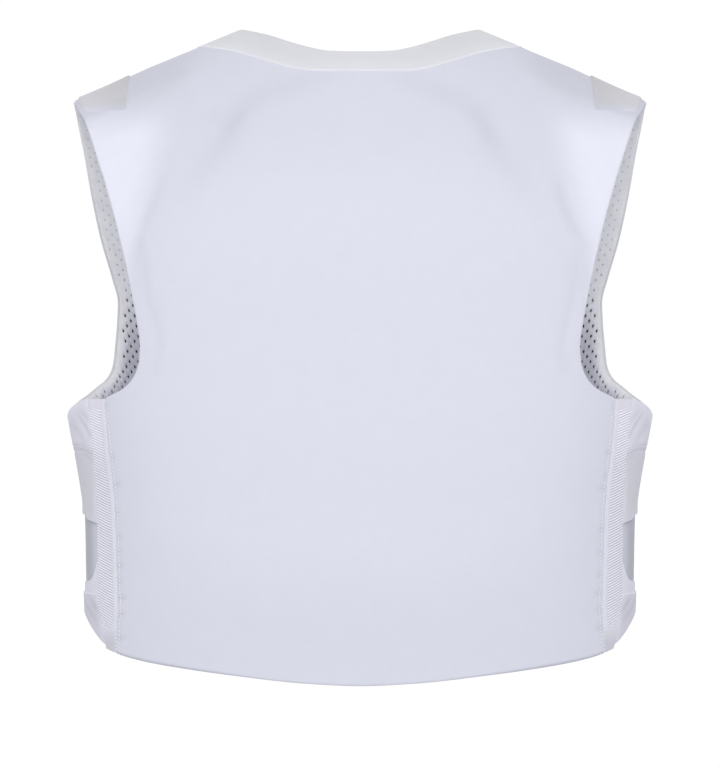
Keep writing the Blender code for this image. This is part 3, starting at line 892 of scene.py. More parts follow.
def path_place(x, z, path):
    """Distance of points from a path in x and z, and the share of its length where they are."""
    path = np.array(path)
    starts = lengths_along(path)
    nearest = np.full(x.shape, np.inf)
    along = np.zeros(x.shape)
    for k, length in enumerate(np.diff(starts)):
        step = (path[k + 1] - path[k]) / length
        t = np.clip((x - path[k][0]) * step[0] + (z - path[k][1]) * step[1], 0, length)
        distance = np.hypot(x - path[k][0] - t * step[0], z - path[k][1] - t * step[1])
        closer = distance < nearest
        nearest = np.where(closer, distance, nearest)
        along = np.where(closer, starts[k] + t, along)
    return nearest, along / starts[-1]


def fold_relief(x, z, folds, unit_x=1.0):
    """Outward offset and painted shade of folds, or painted light where a fold's tone is below 0, whose paths
    have their x in units of unit_x.
    """
    offset = np.zeros(x.shape)
    tone = np.ones(x.shape)
    for depth, width, dark, *paths in folds:
        for path in paths:
            distance, along = path_place(x, z, [(place * unit_x, height) for place, height in path])
            swell = np.sin(np.pi * (FOLD_ENDS + (1 - 2 * FOLD_ENDS) * along)) ** 0.5
            offset -= depth * bump(distance, width) * swell
            tone -= dark * bump(distance, width) * swell
    return offset, tone


def back_relief(sheet):
    """Outward offset of the back panel's folds and puckers, and its tone: painted shade in the folds, puckers
    and seams, along the shoulder ridge and the hem, and painted light beside the armholes and over the pad.
    """
    x, z = np.abs(sheet[..., 0]), sheet[..., 2]
    offset, tone = fold_relief(sheet[..., 0], z, BACK_FOLDS)
    side_seam = rim_distance(sheet, ("first", "last"))
    for side, puckers in PUCKERS.items():
        for height, length, depth in puckers:
            near = bump(z - height - PUCKER_LEAN * side_seam, PUCKER_WIDTH)
            run = ramp(side_seam, *PUCKER_START) * (1 - ramp(side_seam, PUCKER_FADE * length, length))
            pucker = near * run * (np.sign(sheet[..., 0]) == side)
            offset -= depth * pucker
            tone -= PUCKER_TONE * pucker
    below_armhole = 1 - ramp(z, SEAM_TOP, SEAM_TOP + ARMHOLE_FADE)
    offset -= SEAM_DEPTH * bump(side_seam - SEAM_PLACE, SEAM_WIDTH) * below_armhole
    tone -= SEAM_TONE * bump(side_seam - SEAM_PLACE, SEAM_TONE_WIDTH) * below_armhole
    # Painted light on the cloth beside the armholes
    painted_light_heights = ramp(z, *BLADE_BOTTOM) * (1 - ramp(z, *BLADE_TOP))
    blade_start = BLADE_START - BLADE_LEAN * (z - BLADE_MIDDLE)
    tone += BLADE_PAINTED_LIGHT * painted_light_heights * ramp(x, blade_start, blade_start + BLADE_FADE)
    # Painted shade along the shoulder ridge
    tone -= RIDGE_SHADE * ramp(x, *RIDGE_SHADE_X) * (1 - ramp(ridge(x) - z, *RIDGE_SHADE_REACH))
    pad = (x / PAD_REACH[0]) ** PAD_POWER + (np.abs(z - PAD_MIDDLE) / PAD_REACH[1]) ** PAD_POWER
    inside_pad = 1 - ramp(pad ** (1 / PAD_POWER), *PAD_FADE)
    offset += PAD_RISE * inside_pad
    # Painted light over the pad
    tone += PAD_PAINTED_LIGHT * inside_pad
    # Painted shade along the hem, stronger towards the sides and lighter in the middle
    aside = ramp(x, *HEM_SHADE_X)
    hem_tone = HEM_TONES[0] + (HEM_TONES[1] - HEM_TONES[0]) * aside
    hem_reach = HEM_REACHES[0] + (HEM_REACHES[1] - HEM_REACHES[0]) * aside
    tone -= hem_tone * (1 - ramp(rim_distance(sheet, ("low",)), HEM_SHADE_START, hem_reach))
    return offset, tone


def front_relief(sheet, turns, heights):
    """Outward offset of the front panel's folds, and its tone: painted shade in the folds and in the recess,
    and painted shade and painted light on the armhole rims.
    """
    offset, tone = fold_relief(np.abs(sheet[..., 0]), sheet[..., 2], FRONT_FOLDS)
    past_side = np.abs(turns + 90) - 90
    # Painted shadow in the recess between the strap and the lower wing
    recess = ramp(heights, RECESS[0] - RECESS_FADE, RECESS[0])
    recess *= 1 - ramp(heights, RECESS[1], RECESS[1] + RECESS_FADE)
    shade = RECESS_TONES[0] + (RECESS_TONES[1] - RECESS_TONES[0]) * ramp(past_side, *RECESS_ANGLES)
    tone -= (1 - shade) * recess * ramp(past_side, *RECESS_START)
    # Painted shade on the armholes' rims, and painted light on them near the shoulder tips
    rim = 1 - ramp(rim_distance(sheet, ("first", "last")), *RIM_TONE_REACH)
    rim_tone = RIM_TONE + TIP_RIM_PAINTED_LIGHT * ramp(heights, *TIP_RIM_HEIGHTS)
    tone += rim_tone * rim * ramp(heights, SEAM_TOP, SEAM_TOP + ARMHOLE_FADE)
    return offset, tone


def make_panel(side, name, node, materials):
    """One padded panel, with rounded rims and its relief; gives its outer grid."""
    columns = panel_columns(side)
    shares = panel_rows(side)[:, None]
    low, high = panel_ends(side, columns)
    heights = low + (high - low) * shares
    turns = panel_turn(side, columns, heights)
    sheet, normals = on_form([(turns, heights)])
    shoulder = np.abs(sheet[-1, :, 0]) > NECK_HALF_WIDTH - LAYER_GAP
    normals[-1, shoulder, 1] = 0
    normals = unit(normals)
    sheet[..., 1] += side * LAYER_GAP / 2
    crown = panel_crown(columns, shares)
    if side > 0:
        relief, tone = back_relief(sheet)
        outside = PAD_CROWN * crown
    else:
        relief, tone = front_relief(sheet, turns, heights)
        outside = -front_inset(turns, heights)
    inside = outside - PANEL_RIM - PANEL_PAD * crown
    outer, inner = layer(sheet, normals, outside, inside, PANEL_RIM / 2)
    from_rim = rim_distance(sheet)
    outer = outer + normals * (relief * ramp(from_rim, *RELIEF_FADE))[..., None]
    plain = from_rim < LINING_MARGIN + BINDING
    # Painted shadow on the front panel's inside behind the lining's holes, fading out upwards
    fade = 1 - ramp(heights, *BACKING_HEIGHTS)
    piece = body_mesh(name, outer, inner, materials, tone, plain=plain, fade=fade)
    dress(piece, "carrier_cloth", node)
    return outer


def make_back_panel(materials, runs):
    """The back panel, with two rows of stitches up each side seam."""
    outer = make_panel(1, "back_cloth", "back_panel", [materials["carrier"], materials["inside"]])
    for edge in ("first", "last"):
        for inset in SEAM_ROWS:
            path, normals = rail(outer, inset, edge)
            seam = path[:, 2] < SEAM_TOP
            runs.append((path[seam], normals[seam]))


def make_front_panel(materials, runs):
    """The front panel, with painted shadow on its inside behind the lining's holes, and stitched upper edges.
    """
    look = [materials["carrier"], materials["dark"], materials["binding"]]
    outer = make_panel(-1, "front_cloth", "front_panel", look)
    for edge in ("first", "last", "high"):
        path, normals = rail(outer, FRONT_STITCH_INSET, edge)
        shown = path[:, 2] > SEAM_TOP if edge != "high" else np.abs(path[:, 0]) < NECK_HALF_WIDTH
        runs.append((path[shown], normals[shown]))


def column_at(side, turns, heights):
    """Column of a panel's grid through given places, found by passes."""
    table, flow = panel_tables(side)
    broad = edge_angle(flow, heights)
    extra = broad - edge_angle(table, heights)
    away = np.abs(turns - 90 * side)
    found = away / (90 - broad)
    for _ in range(COLUMN_PASSES):
        wide = 90 - broad + np.clip(found, 0, COLUMN_LIMIT) ** FLOW_POWER * extra
        found = 0.5 * found + 0.5 * away / wide
    return np.sign(turns - 90 * side) * np.clip(found, 0, 1)


def lining_point(turns, heights, deep):
    """Point of the lining's face towards the wearer, sunk by deep into it."""
    grid = np.linspace(-1, 1, LINING_COLUMNS)
    low, high = panel_ends(-1, grid)
    columns = column_at(-1, turns, heights)
    bottom = np.interp(columns, grid, low)
    top = np.interp(columns, grid, high)
    crown = panel_crown(columns, np.clip((heights - bottom) / (top - bottom), 0, 1))
    depth = front_inset(turns, heights) + PANEL_RIM + PANEL_PAD * crown + LAYER_GAP + LINING_THICKNESS
    points = form_point(turns, heights) - form_normal(turns, heights) * (depth - deep)[..., None]
    points[..., 1] -= LAYER_GAP / 2
    return points


def lining_maps():
    """Turn by width and height by length, for cloth laid flat on the front panel."""
    turns = np.linspace(*LINING_TURNS)
    heights = np.linspace(*LINING_HEIGHTS)
    widths = lengths_along(form_point(turns, np.full(len(turns), LINING_ARC_HEIGHT)))
    lengths = lengths_along(form_point(np.full(len(heights), LINING_ARC_TURN), heights))
    return turns, widths, heights, lengths


def flat_place(maps, plane):
    """Turns and heights of places on the flat cloth."""
    turns, widths, heights, lengths = maps
    past_middle = np.interp(np.abs(plane[:, 0]), widths, turns) + 90
    return -90 + np.sign(plane[:, 0]) * past_middle, np.interp(plane[:, 1], lengths, heights)


def flat_stretch(maps, centres):
    """How much the form stretches the flat cloth at given places, across and up."""
    stretch = []
    for step in STRETCH_STEP * np.eye(2):
        ahead = form_point(*flat_place(maps, centres + step))
        behind = form_point(*flat_place(maps, centres - step))
        stretch.append(np.linalg.norm(ahead - behind, axis=1) / (2 * STRETCH_STEP))
    return np.clip(np.stack(stretch, axis=1), *STRETCH_LIMITS)


def round_grid(grid):
    """The outermost values of a grid, once round it."""
    return np.concatenate((grid[0], grid[1:, -1], grid[-1, -2::-1], grid[-2:0:-1, 0]))


def lining_outline(maps):
    """Outline of the lining in width and length, a margin inside the front panel's."""
    turns, widths, heights, lengths = maps
    columns = np.linspace(-1, 1, OUTLINE_COLUMNS)
    low, high = panel_ends(-1, columns)
    rows = low + (high - low) * np.linspace(0, 1, OUTLINE_ROWS)[:, None]
    past_middle = round_grid(panel_turn(-1, columns, rows)) + 90
    across = np.sign(past_middle) * np.interp(np.abs(past_middle) - 90, turns, widths)
    loop = np.stack((across, np.interp(round_grid(rows), heights, lengths)), axis=1)
    ahead = np.roll(loop, -1, axis=0) - np.roll(loop, 1, axis=0)
    inward = unit(np.stack((-ahead[:, 1], ahead[:, 0]), axis=1))
    return loop + inward * LINING_MARGIN


def inside_loop(points, loop):
    """Whether points lie inside a closed loop."""
    found = np.zeros(len(points), dtype=bool)
    for (x0, y0), (x1, y1) in zip(loop, np.roll(loop, -1, axis=0)):
        if y0 != y1:
            crosses = (points[:, 1] > min(y0, y1)) & (points[:, 1] <= max(y0, y1))
            found ^= crosses & (points[:, 0] < x0 + (points[:, 1] - y0) * (x1 - x0) / (y1 - y0))
    return found


def tidy_mesh(piece):
    """Merges corners that lie on each other and drops faces with no area."""
    work = bmesh.new()
    work.from_mesh(piece.data)
    bmesh.ops.remove_doubles(work, verts=work.verts, dist=MERGE_DISTANCE)
    bmesh.ops.dissolve_degenerate(work, edges=work.edges, dist=SMALLEST_EDGE)
    loose = [vertex for vertex in work.verts if not vertex.link_faces]
    bmesh.ops.delete(work, geom=loose, context="VERTS")
    work.to_mesh(piece.data)
    work.free()


def net_cells(loop, half):
    """Cells over the loop, in staggered columns, with their places in pitches and half pitches."""
    reach = int(np.abs(loop[:, 0]).max() / MESH_PITCH_ACROSS) + 2
    first = int(loop[:, 1].min() / half[1]) - 2
    last = int(loop[:, 1].max() / half[1]) + 2
    return [(i, j) for i in range(-reach, reach + 1) for j in range(first, last) if (i + j) % 2 == 0]


def net_holes(maps, centres):
    """Edges of the holes about their centres, whether each is a dimple, and the painted shade of the dimples'
    floors.
    """
    angles = np.radians(HOLE_ANGLES)
    ring = np.stack((HOLE_HALF_WIDTH * np.cos(angles), HOLE_HALF_HEIGHT * np.sin(angles)), axis=1)
    heights = flat_place(maps, centres)[1]
    faint = ramp(heights, *BACKING_HEIGHTS)
    share = (1 - (1 - SMALL_HOLE) * faint)[:, None, None]
    edges = ring * share / flat_stretch(maps, centres)[:, None]
    return edges, faint > 0.5, np.interp(heights, DIMPLE_HEIGHTS, DIMPLE_TONES)


def lining_net(maps, loop):
    """Points and faces of the mesh laid flat: six-sided cells, each with a hole or a dimple.

    The points come in parts: places on the flat cloth, depth, tone (painted shade on the holes'
    walls and the dimples' floors), and distance from the rim.  A skirt along the loop closes the
    gap to the front panel.
    """
    half = np.array((MESH_PITCH_ACROSS, MESH_PITCH_UP)) / 2
    cells = net_cells(loop, half)
    keys = sorted({(2 * i + a, j + b) for i, j in cells for a, b in CELL_CORNERS})
    number = {key: k for k, key in enumerate(keys)}
    closed_loop = np.concatenate((loop, loop[:1]))
    flat = np.array(keys, dtype=float) * half
    within = inside_loop(flat, loop)
    on_loop, distance = nearest_on_path(flat, closed_loop)
    flat[~within] = on_loop[~within]
    centres = np.array(cells, dtype=float) * (2, 1) * half
    room = np.where(inside_loop(centres, loop), nearest_on_path(centres, closed_loop)[1], 0)
    edges, dimpled, dimple_tones = net_holes(maps, centres)
    parts = [(flat, 0, 1, np.where(within, distance, 0))]
    faces = []
    total = len(flat)
    for k, (i, j) in enumerate(cells):
        cell = [number[(2 * i + a, j + b)] for a, b in CELL_CORNERS]
        if not any(within[corner] for corner in cell):
            continue
        if room[k] <= HOLE_HALF_HEIGHT + HOLE_MARGIN:
            faces.append(tuple(cell[::-1]))
            continue
        parts.append((centres[k] + edges[k], 0, 1, room[k]))
        # Painted shade on the dimples' floors and on the holes' walls
        if dimpled[k]:
            floor = centres[k] + edges[k] * DIMPLE_FLOOR
            parts.append((floor, DIMPLE_DEPTH, dimple_tones[k], room[k]))
        else:
            parts.append((centres[k] + edges[k], HOLE_DEPTH, HOLE_TONE, room[k]))
        for a in range(6):
            b = (a + 1) % 6
            faces.append((cell[b], cell[a], total + a, total + b))
            faces.append((total + b, total + a, total + 6 + a, total + 6 + b))
        if dimpled[k]:
            faces.append(tuple(range(total + 11, total + 5, -1)))
        total += 12
    count = len(loop)
    parts += [(loop, 0, SKIRT_TONE, 0), (loop, LINING_THICKNESS + LAYER_GAP, SKIRT_TONE, 0)]
    for k in range(count):
        after = (k + 1) % count
        faces.append((total + k, total + after, total + count + after, total + count + k))
    return parts, faces


def make_lining(materials):
    """The front panel's air mesh, with real holes in staggered columns."""
    maps = lining_maps()
    loop = lining_outline(maps)
    parts, faces = lining_net(maps, loop)
    plane = np.concatenate([part[0] for part in parts])
    deep, tone, inward = (
        np.concatenate([np.broadcast_to(part[k], len(part[0])) for part in parts]) for k in (1, 2, 3)
    )
    turns, heights = flat_place(maps, plane)
    points = lining_point(turns, heights, deep)
    # Painted shade on the mesh: darker towards its bottom and away from its rim
    shade = (1 - ramp(heights, *MESH_SHADE_HEIGHTS)) * ramp(inward, *MESH_SHADE_REACH)
    marks = {"fade": shade, "tone": tone}
    piece = add_mesh("front_mesh", points, faces, [materials["mesh"]], uv=plane, marks=marks)
    tidy_mesh(piece)
    dress(piece, "air_mesh", "front_lining")


def make_neck_band(materials):
    """The band round the neck opening, with a raised seam along its lower edge."""
    rows = np.concatenate((BAND_LOW_ROWS, np.linspace(*BAND_MIDDLE_ROWS), BAND_HIGH_ROWS))
    across = (NECK_GAP_SHARE + (1 - NECK_GAP_SHARE) * rows)[:, None]
    parts = []
    for side, name in ((1, "back"), (-1, "front")):
        x_outer = side * NECK_HALF_WIDTH * np.cos(np.linspace(0, np.pi, PANEL_GRIDS[1]["neck"] + 1))[:-1]
        low = neck(x_outer, f"{name}_outer")
        high = neck(x_outer, f"{name}_inner")
        x = x_outer * (1 - (1 - NECK_INNER) * across)
        heights = np.minimum(low + (high - low) * across, ridge(x) - RIDGE_STEP)
        parts.append((turn_at_x(x, heights, side), heights))
    sheet, normals = on_form(parts)
    closed = np.concatenate((sheet, sheet[:, :1]), axis=1)
    from_low = rim_distance(closed, ("low",))[:, :-1]
    outside = BAND_PROUD + PIPING_RISE * bump(from_low - PIPING_PLACE, PIPING_WIDTH)
    inside = BAND_PROUD - BAND_THICKNESS
    outer, inner = layer(sheet, normals, outside, inside, BAND_ROUNDING, ("low", "high"))
    # Painted highlight on the seam, painted shade towards the band's top, lighter towards its sides
    tone = 1 + PIPING_PAINTED_HIGHLIGHT * bump(from_low - PIPING_PLACE, PIPING_PLACE)
    tone -= BAND_TONE * ramp(from_low, *BAND_TONE_REACH)
    tone += BAND_SIDE_TONE * ramp(np.abs(sheet[..., 0]), *BAND_SIDE_X)
    piece = body_mesh("neck_cloth", outer, inner, [materials["band"]], tone, ring=True)
    dress(piece, "band_cloth", "neck_band")


def make_elastics(materials):
    """Ribbed elastic beside the back panel, with a flat selvedge at each edge."""
    low = hem(np.array(ELASTIC_HEM_ANGLES))
    ribs = round((ELASTIC_TOP - low.min()) / RIB_PITCH)
    rim = np.array(ELASTIC_RIM_COLUMNS)
    across = np.concatenate((rim, np.linspace(*ELASTIC_COLUMNS), 1 - rim[::-1]))[None, :]
    low = low[0] + (low[1] - low[0]) * across
    shares = np.linspace(0, 1, ribs * RIB_ROWS + 1)[:, None]
    lean = RIB_RISE * (0.5 - across) * np.clip(np.minimum(shares, 1 - shares) / RIB_FADE, 0, 1)
    heights = low + (ELASTIC_TOP - low) * shares + lean
    seam = edge_angle(BACK_EDGE, heights) + TUCK_ANGLE
    outside = edge_angle(ELASTIC_EDGE, heights)
    sheet, normals = on_form([(outside + (seam - outside) * across, heights)])
    wave = (0.5 - 0.5 * np.cos(2 * np.pi * shares * ribs)) ** RIB_POWER
    from_seam = rim_distance(sheet, ("last",))
    ribbed = ramp(rim_distance(sheet, ("first",)), SELVEDGE_START * SELVEDGE[0], SELVEDGE[0])
    ribbed *= ramp(from_seam, TUCK_WIDTH + SELVEDGE_START * SELVEDGE[1], TUCK_WIDTH + SELVEDGE[1])
    ribbed *= (1 - ramp(heights, *RIB_TOP)) * ramp(heights, *RIB_BOTTOM)
    depth = RIB_DEPTH * (wave * ribbed + PLAIN_DEPTH * (1 - ribbed))
    depth += TUCK_DEPTH * (1 - ramp(from_seam, TUCK_START * TUCK_WIDTH, TUCK_WIDTH))
    # Painted shade between the ribs, a painted highlight on them, and painted shade towards the hem
    light = RIB_LIGHT + ELASTIC_TOP_TONE * ramp(heights, *ELASTIC_TOP_FADE)
    plain = PLAIN_TONE - ELASTIC_PLAIN_TOP * ramp(heights, *RIB_TOP)
    tone = plain + (1 - plain + light - RIB_TONE * wave) * ribbed
    tone -= ELASTIC_HEM_TONE * (1 - ramp(heights, *ELASTIC_HEM_FADE))
    body = layer(sheet, normals, -depth, -ELASTIC_THICKNESS - TUCK_DEPTH, ELASTIC_ROUNDING)
    make_pair("ribbed_elastic", "side_elastic", "ribbed_elastic", materials["elastic"], body, sheet, tone)


def side_sheet(bottom, top, shares, steps):
    """Turns and heights from the front overlap to just under the elastic."""
    angles = WING_FRONT_ANGLE + (WING_BACK_ANGLE - WING_FRONT_ANGLE) * steps
    for _ in range(EDGE_PASSES):
        heights = bottom(angles) + (top(angles) - bottom(angles)) * shares
        edge = edge_angle(ELASTIC_EDGE, heights) + TUCK_ANGLE
        angles = WING_FRONT_ANGLE + (edge - WING_FRONT_ANGLE) * steps
    return angles, heights


def graded(count, length):
    """Shares from 0 to 1, close together at both ends of a length."""
    rim = np.array(RIM_STEPS[:-3]) / length
    return np.concatenate((rim, np.linspace(rim[-1], 1 - rim[-1], count)[1:-1], 1 - rim[::-1]))


def make_side_piece(material, name, node, slot, bottom, top, rows, folds, thickness, inset=0.0, sinks=(),
                    grooves=(), tab=False):
    """One layer of cloth round each side, creased and tucked under the elastic; gives its outer grid."""
    middle = (bottom(0.0) + top(0.0)) / 2
    tall = float(top(0.0) - bottom(0.0))
    width = np.radians(WING_BACK_ANGLE - WING_FRONT_ANGLE) * torso(middle, "half_width")
    shares, steps = graded(rows, tall)[:, None], graded(SIDE_COLUMNS, width)[None, :]
    turns, heights = side_sheet(bottom, top, shares, steps)
    sheet, normals = on_form([(turns, heights)])
    # Painted shade in the creases and seam lines, and painted light where a crease's tone is below 0
    offset, tone = fold_relief(turns * DEGREE, heights, folds, DEGREE)
    for distance in grooves:
        groove = bump(rim_distance(sheet, ("low",)) - distance, GROOVE_WIDTH)
        offset -= GROOVE_DEPTH * groove
        tone -= GROOVE_TONE * groove
    offset *= ramp(rim_distance(sheet, ("low", "high")), *SIDE_RELIEF_FADE)
    if tab:
        above = ramp(heights, *TAB_STEP)
        offset -= TAB_INSET * above
        tone += TAB_TONE * above
    for edge, depth, wide in (*sinks, TUCK_SINK):
        offset -= depth * (1 - ramp(rim_distance(sheet, (edge,)), SINK_START * wide, wide))
    body = layer(sheet, normals, offset - inset, offset - inset - thickness, thickness / 2)
    make_pair(name, node, slot, material, body, sheet, tone)
    return body[0]


def make_side_pieces(materials, runs):
    """Upper wing, strap and lower wing on each side."""
    wing = materials["wing"]
    make_side_piece(wing, "wing_upper", "upper_wing", "wing_cloth", edge_curve(WING_STITCH),
                    edge_curve(WING_TOP), 26, UPPER_WING_FOLDS, WING_THICKNESS, sinks=(WING_SINK,),
                    grooves=WING_GROOVES)
    make_side_piece(materials["strap"], "strap_side", "side_strap", "strap_elastic", edge_curve(STRAP_BOTTOM),
                    edge_curve(WING_STITCH, STRAP_UNDER_WING), 32, STRAP_FOLDS, STRAP_THICKNESS,
                    inset=STRAP_INSET, sinks=(STRAP_SINK,))
    outer = make_side_piece(wing, "wing_lower", "lower_wing", "wing_cloth", hem, edge_curve(LOWER_WING_TOP),
                            34, LOWER_WING_FOLDS, WING_THICKNESS, tab=True)
    for grid in (outer, mirrored(outer)):
        runs.append(level_rail(grid, LOWER_STITCH))


def make_shoulder_straps(materials):
    """A strap over the outer end of each shoulder, from front to back."""
    across = graded(SHOULDER_STRAP_ROWS, SHOULDER_TIP - SHOULDER_STRAP_INNER)[:, None]
    parts = []
    for side, end, table, steps in (
        (-1, SHOULDER_STRAP_FRONT_END, FRONT_EDGE, np.linspace(1, 0, SHOULDER_STRAP_STEPS[-1])),
        (1, SHOULDER_STRAP_BACK_END, BACK_EDGE, np.linspace(0, 1, SHOULDER_STRAP_STEPS[1])[1:]),
    ):
        edge = form_point(edge_angle(table, end), end)[0]
        outside = SHOULDER_TIP + (edge - SHOULDER_TIP) * steps ** 2 - SHOULDER_STRAP_INSET
        x = outside + (SHOULDER_STRAP_INNER - outside) * across
        heights = ridge(x) + (end - ridge(x)) * steps ** 2
        parts.append((turn_at_x(x, heights, side), heights))
    sheet, normals = on_form(parts)
    lift = np.full(sheet.shape[:2], SHOULDER_STRAP_LIFT)
    for edge, wide in SHOULDER_STRAP_SINKS:
        sunk = 1 - ramp(rim_distance(sheet, (edge,)), SHOULDER_SINK_START * wide, wide)
        lift -= SHOULDER_STRAP_SINK * sunk
    body = layer(sheet, normals, lift, lift - SHOULDER_STRAP_THICKNESS, SHOULDER_STRAP_THICKNESS / 2)
    from_end = rim_distance(sheet, ("last",))
    tip = 1 - ramp(rim_distance(sheet, ("low",)), 0.0, SHOULDER_TIP_REACH)
    tone = 1 + SHOULDER_TIP_TONE * (2 * tip - 1)
    tone -= SHOULDER_STRAP_END_TONE * (1 - ramp(from_end, 0.0, SHOULDER_STRAP_END_REACH))
    make_pair("strap_shoulder", "shoulder_strap", "strap_elastic", materials["shoulder"], body, sheet, tone,
              fade=ramp(from_end, *SHOULDER_STRAP_FADE))


def set_inputs(node, inputs):
    """Sets a node's inputs to values, or links them to the sockets given."""
    for name, value in inputs.items():
        if isinstance(value, bpy.types.NodeSocket):
            node.id_data.links.new(value, node.inputs[name])
        else:
            node.inputs[name].default_value = value


def add_node(tree, kind, inputs=None, **settings):
    """A new shader node with its settings and inputs."""
    node = tree.nodes.new(f"ShaderNode{kind}")
    for name, value in settings.items():
        setattr(node, name, value)
    set_inputs(node, inputs or {})
    return node


def combine(tree, operation, first, second):
    """The socket of a math node that works on two sockets."""
    return add_node(tree, "Math", {0: first, 1: second}, operation=operation).outputs[0]


def new_material(name):
    """A new material with nodes, and its shader."""
    material = bpy.data.materials.new(name)
    material.use_nodes = True
    return material, material.node_tree.nodes["Principled BSDF"]


def cloth(name, colour, thread=FINE_THREAD, weave=0.20, slub=0.020, sheen=0.12, twill=False, rim_colour=None):
    """Woven cloth: threads in the bump, slubs in the colour, and the marks of its mesh, which carry the
    painted light and shade of each piece.

    With a rim colour, the cloth has that colour where the mark "fade" is 0.
    """
    material, shader = new_material(name)
    tree = material.node_tree
    place = add_node(tree, "UVMap", uv_map="weave").outputs["UV"]
    wave_inputs = {"Vector": place, "Scale": 2 * np.pi / (WAVES_PER_SCALE * thread), **THREAD_WAVE}
    warp, weft = (
        add_node(tree, "TexWave", wave_inputs, wave_type="BANDS", bands_direction=direction).outputs["Fac"]
        for direction in ("X", "DIAGONAL" if twill else "Y")
    )
    slubs = []
    for stretch in SLUB_STRETCHES:
        mapping = add_node(tree, "Mapping", {"Vector": place, "Scale": stretch})
        noise = add_node(tree, "TexNoise", {"Vector": mapping.outputs["Vector"], **SLUB_NOISE})
        slubs.append(noise.outputs["Fac"])
    total = combine(tree, "ADD", combine(tree, "ADD", slubs[0], slubs[1]), slubs[2])
    span = add_node(tree, "MapRange", {"Value": total, "To Min": 1 - slub, "To Max": 1 + slub, **SLUB_SPAN})
    tone = add_node(tree, "Attribute", attribute_name="tone").outputs["Fac"]
    shade = combine(tree, "MULTIPLY", tone, span.outputs["Result"])
    ground = (*colour, 1)
    if rim_colour:
        fade = add_node(tree, "Attribute", attribute_name="fade").outputs["Fac"]
        blend = {"Factor": fade, "A": (*rim_colour, 1), "B": ground}
        ground = add_node(tree, "Mix", blend, data_type="RGBA").outputs["Result"]
    tint = {"Factor": 1.0, "A": ground, "B": shade}
    tinted = add_node(tree, "Mix", tint, data_type="RGBA", blend_type="MULTIPLY")
    threads = combine(tree, "MULTIPLY", warp, weft)
    relief = add_node(tree, "Bump", {"Strength": weave, "Distance": thread / 4, "Height": threads})
    set_inputs(shader, {"Base Color": tinted.outputs["Result"], "Normal": relief.outputs["Normal"],
                        "Sheen Weight": sheen, **CLOTH_LOOK})
    return material


def make_materials():
    """Every material of the vest, by name."""
    return {
        "carrier": cloth("carrier cloth", WHITE_CLOTH),
        "inside": cloth("inner cloth", INNER_CLOTH, slub=0.015),
        # Painted shadow behind the mesh's holes, pale like the mesh higher up
        "dark": cloth("layer behind the mesh", HOLE_SHADOW_CLOTH, weave=0.10, sheen=0.0, rim_colour=MESH_CLOTH),
        "mesh": cloth("air mesh", MESH_SHADE_CLOTH, 0.00090, weave=0.35, slub=0.110, sheen=0.45,
                      rim_colour=MESH_CLOTH),
        "binding": cloth("binding of the armholes", BINDING_CLOTH, 0.00060, weave=0.30, slub=0.060),
        "band": cloth("band cloth", BAND_CLOTH, slub=0.015),
        "elastic": cloth("ribbed elastic", ELASTIC_CLOTH, 0.00060, weave=0.30),
        "wing": cloth("wing cloth", WING_CLOTH),
        "strap": cloth("strap webbing", STRAP_CLOTH, 0.00080, weave=0.40, twill=True),
        "shoulder": cloth("shoulder webbing", SHOULDER_CLOTH, 0.00080, weave=0.30, slub=0.015,
                          rim_colour=WHITE_CLOTH),
        "thread": cloth("thread", THREAD, 0.00020, weave=0.0, slub=0.0),
    }


def make_camera():
    """The camera at the photograph's viewing angle, level behind the wearer."""
    camera = bpy.data.cameras.new("camera")
    camera.lens = CAMERA_LENS
    camera.sensor_width = CAMERA_SENSOR
    holder = place_object("camera", camera)
    holder.location = CAMERA_PLACE
    holder.rotation_euler = (np.pi / 2, 0, np.pi)
    bpy.context.scene.camera = holder


def make_lights():
    """Three soft lights on the camera's side."""
    for name, place, size, power in LIGHTS:
        light = bpy.data.lights.new(name, "AREA")
        light.shape = "SQUARE"
        light.size = size
        light.energy = power
        holder = place_object(name, light)
        holder.location = place
        holder.rotation_euler = (Vector(LIGHT_TARGET) - Vector(place)).to_track_quat("-Z", "Y").to_euler()


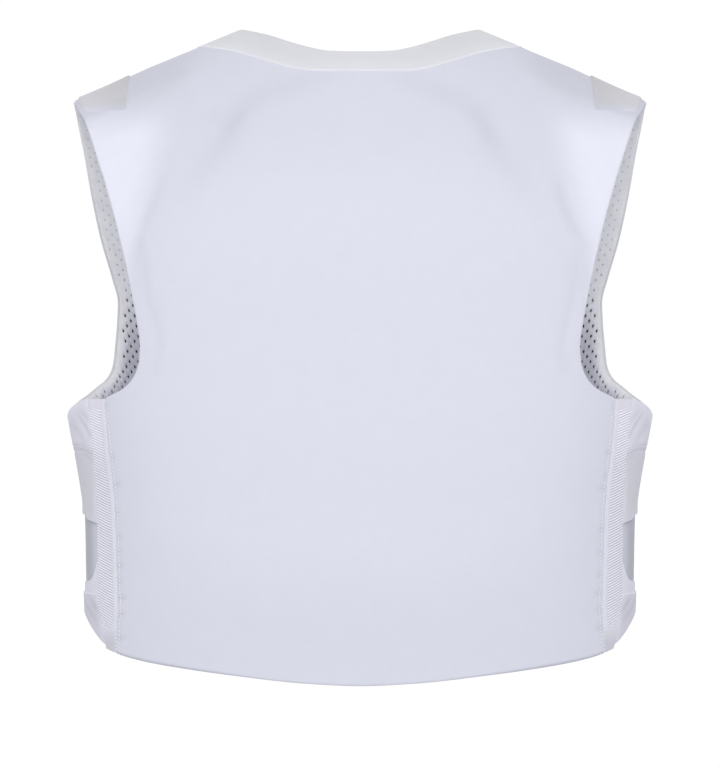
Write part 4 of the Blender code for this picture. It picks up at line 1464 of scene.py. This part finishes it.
def make_world():
    """A white backdrop before the camera, with dimmer surroundings behind, above and below."""
    world = bpy.data.worlds.new("studio")
    bpy.context.scene.world = world
    world.use_nodes = True
    tree = world.node_tree
    place = add_node(tree, "TexCoord").outputs["Generated"]
    parts = add_node(tree, "SeparateXYZ", {"Vector": place})
    span = add_node(tree, "MapRange", {"Value": parts.outputs["Z"], "From Min": -1.0, "From Max": 1.0})
    stops = add_node(tree, "ValToRGB", {"Fac": span.outputs["Result"]})
    while len(stops.color_ramp.elements) < len(WORLD_STOPS):
        stops.color_ramp.elements.new(0.5)
    for element, (position, level) in zip(stops.color_ramp.elements, WORLD_STOPS):
        element.position = position
        element.color = (level, level, level, 1)
    turned = {"From Min": WORLD_TURN[0], "From Max": WORLD_TURN[1], "To Min": 1.0, "To Max": WORLD_BEHIND}
    behind = add_node(tree, "MapRange", {"Value": parts.outputs["Y"], **turned},
                      interpolation_type="SMOOTHSTEP")
    backdrop = {"Color": stops.outputs["Color"], "Strength": behind.outputs["Result"]}
    set_inputs(tree.nodes["Background"], backdrop)


def make_floor():
    """A plain pale floor, as far below the shoulders as a standing wearer's."""
    size = FLOOR_HALF_SIZE
    corners = ((-size, -size), (size, -size), (size, size), (-size, size))
    mesh = bpy.data.meshes.new("floor")
    mesh.from_pydata([(x, y, FLOOR_HEIGHT) for x, y in corners], [], [(0, 1, 2, 3)])
    material, shader = new_material("floor")
    set_inputs(shader, {"Base Color": (*FLOOR_COLOUR, 1), "Roughness": FLOOR_ROUGHNESS})
    mesh.materials.append(material)
    floor = place_object("floor", mesh)


bpy.context.scene.view_settings.view_transform = "Standard"
make_camera()
make_world()
make_lights()
make_floor()
MATERIALS = make_materials()
RUNS = []
make_back_panel(MATERIALS, RUNS)
make_front_panel(MATERIALS, RUNS)
make_lining(MATERIALS)
make_neck_band(MATERIALS)
make_elastics(MATERIALS)
make_side_pieces(MATERIALS, RUNS)
make_shoulder_straps(MATERIALS)
make_stitches("seam_stitches", RUNS, MATERIALS["thread"])
